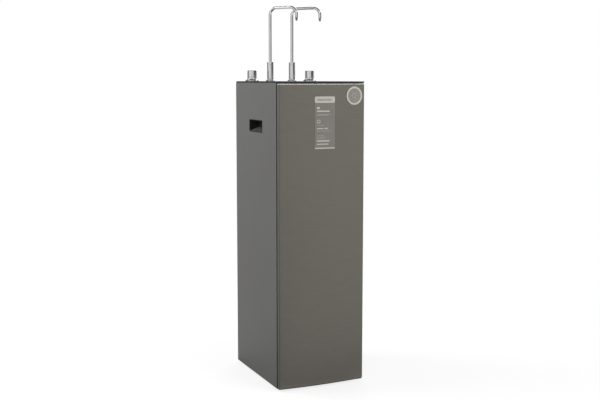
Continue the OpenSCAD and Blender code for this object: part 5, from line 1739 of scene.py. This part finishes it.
@dataclass
class RearBay:
    """Tanks, control box, inlet valve and tubes behind the mounting plate."""

    tank_y: float = centre("storage_tank").y
    tank_r: float = highest("storage_tank").x
    seam_z: float = lowest("storage_tank").z + 150.0
    hot_at: Flat = tuple(centre("hot_tank_jacket").xy)
    jacket_r: float = highest("hot_tank_jacket").x - centre("hot_tank_jacket").x
    shelf_z: float = highest("tank_shelf").z
    strap: float = 12.0
    strap_rows: Triple = (30.0, 92.0, 154.0)
    box: Box = corners("control_box")
    box_edge: float = 2.5
    lid: float = 14.0
    lip_half: float = 0.6
    tongue_in: float = 1.2
    tongue_half: float = 4.0
    lid_ribs: Ribs = Ribs(32.0, 8, 10.0, 1.2)
    lid_rib_in: float = 14.0
    # Root and crest of a rib, from the face of the lid.
    lid_rib_y: Pair = (-1.0, 1.2)
    screw_in: float = 7.0
    valve: Box = corners("solenoid_valve")
    valve_h: float = 26.0
    port_len: float = 8.0

    def build(self) -> None:
        """Makes and dresses the pieces of the rear bay."""
        dress(WHITE_POWDER, "storage_tank")
        dress(BLACK_ABS, "tank_stand")
        dress(BLUE, "tank_valve", "tank_valve_lever")
        dress(PLATED, "hot_tank")
        dress(FOAM, "hot_tank_jacket")
        dress(TUBE, "cold_tubes", "hot_tubes", "tap_tubes")
        self._bands()
        self._box()
        self._inlet_valve()

    def _bands(self) -> None:
        """Lays the weld bead round the tank and the straps round the jacket."""
        r = self.tank_r
        weld = [(r - 0.8, -3.5), (r + 0.3, -3), (r + 0.9, -1), (r + 0.9, 1), (r + 0.3, 3), (r - 0.8, 3.5)]
        shape = Shape().turned(weld + weld[:1], upright(0, self.tank_y, self.seam_z), steps=96)
        shape.piece("tank_weld_bead", WHITE_POWDER)
        section = band(self.jacket_r - 0.5, self.jacket_r + 0.7, 0, self.strap, 0.3)
        places = [upright(*self.hot_at, self.shelf_z + z) for z in self.strap_rows]
        Shape().turned(section, *places, steps=72).piece("jacket_straps", BLACK_ABS)

    def _box(self) -> None:
        """Moulds the control box with a lid lip, ribs and four screws."""
        (x0, y0, z0), (x1, y1, z1) = self.box
        lip, gap = y1 - self.lid, self.lip_half
        shape = Shape().block((x0, y0, z0), (x1, lip - gap, z1), self.box_edge, 3)
        shape.block((x0, lip + gap, z0), (x1, y1, z1), self.box_edge, 3)
        inner, half = self.tongue_in, self.tongue_half
        shape.block((x0 + inner, lip - half, z0 + inner), (x1 - inner, lip + half, z1 - inner), 0.4)
        inset, (root, crest) = self.lid_rib_in, self.lid_rib_y
        for low, high in self.lid_ribs.spans(z0):
            shape.block((x0 + inset, y1 + root, low), (x1 - inset, y1 + crest, high))
        shape.piece("control_box_case", WHITE_ABS, "control_box")
        places = [facing(x, y1, z, BACK) for x, z in four((x0, z0), (x1, z1), self.screw_in)]
        Shape().turned(PAN_HEAD, *places, steps=24).piece("control_box_screws", PLATED)

    def _inlet_valve(self) -> None:
        """Moulds the solenoid valve: body, ports, collets and a wound coil."""
        (x0, y0, z0), (x1, y1, _) = self.valve
        x, y, top = (x0 + x1) / 2, (y0 + y1) / 2, z0 + self.valve_h
        z, long = z0 + self.valve_h / 2, y1 - y0
        shape = Shape().block((x0, y0 + self.port_len, z0), (x1, y1 - self.port_len, top), 2.5, 3)
        rod = [(0, 0), (5.3, 0), (6, 0.7), (6, long - 0.7), (5.3, long), (0, long)]
        shape.turned(rod, facing(x, y0, z, BACK), steps=32)
        shape.piece("inlet_valve_body", WHITE_ABS, "solenoid_valve")
        foot = [(0, -2), (13, -2), (15, -1), (15, 2), (13.6, 3)]
        head = [(13.6, 20), (15, 21), (15, 23), (13, 24), (4, 24), (0, 23)]
        Shape().turned(foot + head, upright(x, y, top), steps=48).piece("inlet_valve_coil", BLACK_ABS)
        collets = Shape().turned(COLLET, facing(x, y0, z, FRONT), facing(x, y1, z, BACK), steps=32)
        collets.piece("inlet_valve_collets", BLUE)


@dataclass
class BackPanel:
    """Back panel with vents, screws, water fittings, cord gland and heater switch."""

    half_w: float = highest("back_panel").x
    low_z: float = lowest("back_panel").z
    high_z: float = highest("back_panel").z
    face_y: float = highest("back_panel").y
    sheet: float = 1.5
    sheet_edge: float = 0.25
    corner: float = 1.0
    vent: Pair = (90.0, 4.0)
    vent_low: float = 561.5
    vent_pitch: float = 12.0
    vent_rows: int = 12
    # Back and front of a slot's hood from the panel's face, and its ends above the middle of the slot.
    hood_y: Pair = (-0.5, 1.5)
    hood_z: Pair = (2.3, 4.3)
    plate_low: Flat = (-112.0, 300.0)
    plate_high: Flat = (-34.0, 352.0)
    plate_y: Pair = (-0.2, 0.5)
    screw_rows: int = 4
    screw_r: float = 3.5
    screw_hole: float = 1.95
    # Half the length and half the width of a cross's bar, its foot over the panel's face, and its depth.
    cross: Pair = (1.9, 0.4)
    cross_foot: float = 1.5
    cross_deep: float = 0.75
    screws: Box = corners("back_panel_screws")
    neck_r: float = 6.5
    fit: float = 0.05
    inside: float = 12.5
    tube_r: float = 3.25
    cord_r: float = 3.8
    # Places of the two nuts of a fitting, from the panel's face.
    nuts: Pair = (0.0, -4.5)
    switch_hole: Pair = (20.7, 31.1)
    switch_corner: float = 0.3
    rest_tilt: float = 8.0
    # Half the size of the rocker, and the radius and half the length of its axle.
    rocker: Triple = (7.0, 3.0, 11.0)
    axle: Pair = (1.4, 8.9)
    mark_bar: Box = ((-0.5, 2.9, 4.0), (0.5, 3.12, 8.0))
    mark_edge: float = 0.05
    mark_thick: float = 0.24
    # Outer and inner radius of the ring on the rocker, and its place along Z.
    mark_ring: Triple = (2.2, 1.5, -6.0)
    water: tuple[str, ...] = ("water_inlet", "drain_outlet")
    gland: str = "cord_gland"

    def build(self) -> None:
        """Makes and dresses the back."""
        self._sheet()
        self._screws()
        self._fittings()
        self._switch()

    def _on_back(self, x: float, z: float) -> Matrix:
        """Gives the place of a turned body that stands out of the back at a point."""
        return facing(x, self.face_y, z, BACK)

    def _screw_spots(self) -> list[Flat]:
        """Works out where the screws sit.

        Returns:
            X and Z of each screw, first on the left from the foot up, then on the right.
        """
        (_, _, foot), (edge, _, top) = self.screws
        low, high, x = foot + self.screw_r, top - self.screw_r, edge - self.screw_r
        rows = self.screw_rows
        return [(s * x, low + (high - low) * k / (rows - 1)) for s in (-1, 1) for k in range(rows)]

    def _sheet(self) -> None:
        """Presses the panel with its slots, slot hoods and openings, and fixes a blank plate to it."""
        w, h = 2 * self.half_w, self.high_z - self.low_z
        mid = (self.low_z + self.high_z) / 2
        slots = [self.vent_low + i * self.vent_pitch for i in range(self.vent_rows)]
        holes = [round_rect(*self.vent, self.vent[1] / 2 - 0.01, (0, z - mid)) for z in slots]
        for name in (*self.water, self.gland):
            x, z = mount(name)
            holes.append(ring_loop(self.neck_r + self.fit, (x, z - mid)))
        holes += [ring_loop(self.screw_hole, (x, z - mid), 16) for x, z in self._screw_spots()]
        at = centre("heater_switch")
        holes.append(round_rect(*self.switch_hole, self.switch_corner, (at.x, at.z - mid)))
        place = standing(self.face_y - self.sheet / 2, mid)
        shape = Shape().plate(round_rect(w, h, self.corner), holes, self.sheet, self.sheet_edge, place)
        half, y = self.vent[0] / 2, self.face_y
        (root, out), (low, high) = self.hood_y, self.hood_z
        for z in slots:
            shape.block((-half, y + root, z + low), (half, y + out, z + high), 0.7, 3)
        shape.piece("back_panel_sheet", SIDE_PAINT, "back_panel")
        (x0, z0), (x1, z1) = self.plate_low, self.plate_high
        root, out = self.plate_y
        Shape().block((x0, y + root, z0), (x1, y + out, z1), 0.25).piece("blank_rating_plate", TRIM)

    def _screws(self) -> None:
        """Turns the pan-head screws and sets a black cross on each: painted shade for the shadow in a cross
        recess.
        """
        r = self.screw_r
        shank = [(0, -8), (1.9, -8), (1.9, 0)]
        head = [(r - 0.2, 0), (r, 0.3), (r - 0.3, 1.3), (r - 1.1, 1.9), (0, 2.2)]
        heads, recess_shades = Shape(), Shape()
        y, (long, wide) = self.face_y + self.cross_foot, self.cross
        for x, z in self._screw_spots():
            heads.turned(shank + head, self._on_back(x, z), steps=28)
            for w, h in ((long, wide), (wide, long)):
                # A black bar of the cross: painted shade for the shadow in the screw's recess.
                recess_shades.block((x - w, y, z - h), (x + w, y + self.cross_deep, z + h), 0.1)
        heads.piece("panel_screw_heads", PLATED, "back_panel_screws")
        recess_shades.piece("panel_screw_crosses", BLACK_ABS)

    def _fittings(self) -> None:
        """Turns the two water fittings with nuts and collets, and the domed cord gland."""
        n, t, c, base = self.neck_r, self.tube_r, self.cord_r, -self.inside
        bore = [(0, base), (0, 0), (t, 0), (t, 16), (n - 0.6, 16)]
        barrel = [(n, 15.4), (n, 5.6), (n - 0.4, 5.2), (n - 0.4, 4.2), (n, 3.8), (n, base), (0, base)]
        wall = t + self.fit
        ring = [(wall, 13), (wall, 17.2), (5.2, 17.2), (5.6, 16.8), (5.6, 16.1), (4.2, 16), (4.2, 13)]
        places = [self._on_back(*mount(name)) for name in self.water]
        gland = self._on_back(*mount(self.gland))
        shape = Shape().turned(bore + barrel, *places, steps=40)
        dome = [(c, base), (c, 12), (4.6, 12), (5.6, 11), (6.3, 9), (n, 7.2), (n, base), (c, base)]
        shape.turned(dome, gland, steps=48)
        grip = [(n - 0.1, 3.2), (7.4, 3.4), (7.6, 4), (7.6, 6.4), (7.2, 7), (n - 0.1, 7.2), (n - 0.1, 3.2)]
        shape.turned(grip, gland, steps=60, waves=12, swell=0.5)
        nut = [(n - 0.3, 0), (8.4, 0), (9, 0.5), (9, 2.5), (8.4, 3), (n - 0.3, 3), (n - 0.3, 0)]
        nuts = [place @ upright(0, 0, z) for place in (*places, gland) for z in self.nuts]
        shape.turned(nut, *nuts, steps=6).piece("rear_fitting_bodies", BLACK_ABS, "rear_fittings")
        Shape().turned(ring + ring[:1], *places, steps=40).piece("fitting_collets", BLUE)

    def _switch(self) -> None:
        """Dresses the switch housing and moulds its rocker with the usual marks."""
        dress(BLACK_ABS, "heater_switch")
        at = pivot("heater_rocker_tilt")
        place = upright(at.x, at.y, at.z) @ Matrix.Rotation(math.radians(-self.rest_tilt), 4, "X")
        (w, d, h), (r, end) = self.rocker, self.axle
        rocker = Shape().block((-w, -d, -h), (w, d, h), 1.2, 3)
        rocker.turned([(0, -end), (r, -end), (r, end), (0, end)], facing(0, 0, 0, ACROSS), steps=20)
        rocker.mesh.transform(place)
        rocker.piece("rocker_cap", BLACK_GLOSS, "heater_rocker", body="rocker")
        edge, (outer, inner, z) = self.mark_edge, self.mark_ring
        marks = Shape().block(*self.mark_bar, edge)
        marks.plate(ring_loop(outer), [ring_loop(inner)], self.mark_thick, edge, standing(d, z))
        marks.mesh.transform(place)
        marks.piece("rocker_marks", INK, body="rocker")


def main() -> None:
    """Builds the studio and every sub-assembly in order."""
    logging.basicConfig(level=logging.INFO, format="%(message)s")
    parts = (Studio(), Cabinet(), Door(), Taps(), Knobs(), Filters(), PumpAndPower(), RearBay(), BackPanel())
    for part in parts:
        log.info("building %s", type(part).__name__)
        part.build()


if __name__ == "__main__":
    main()
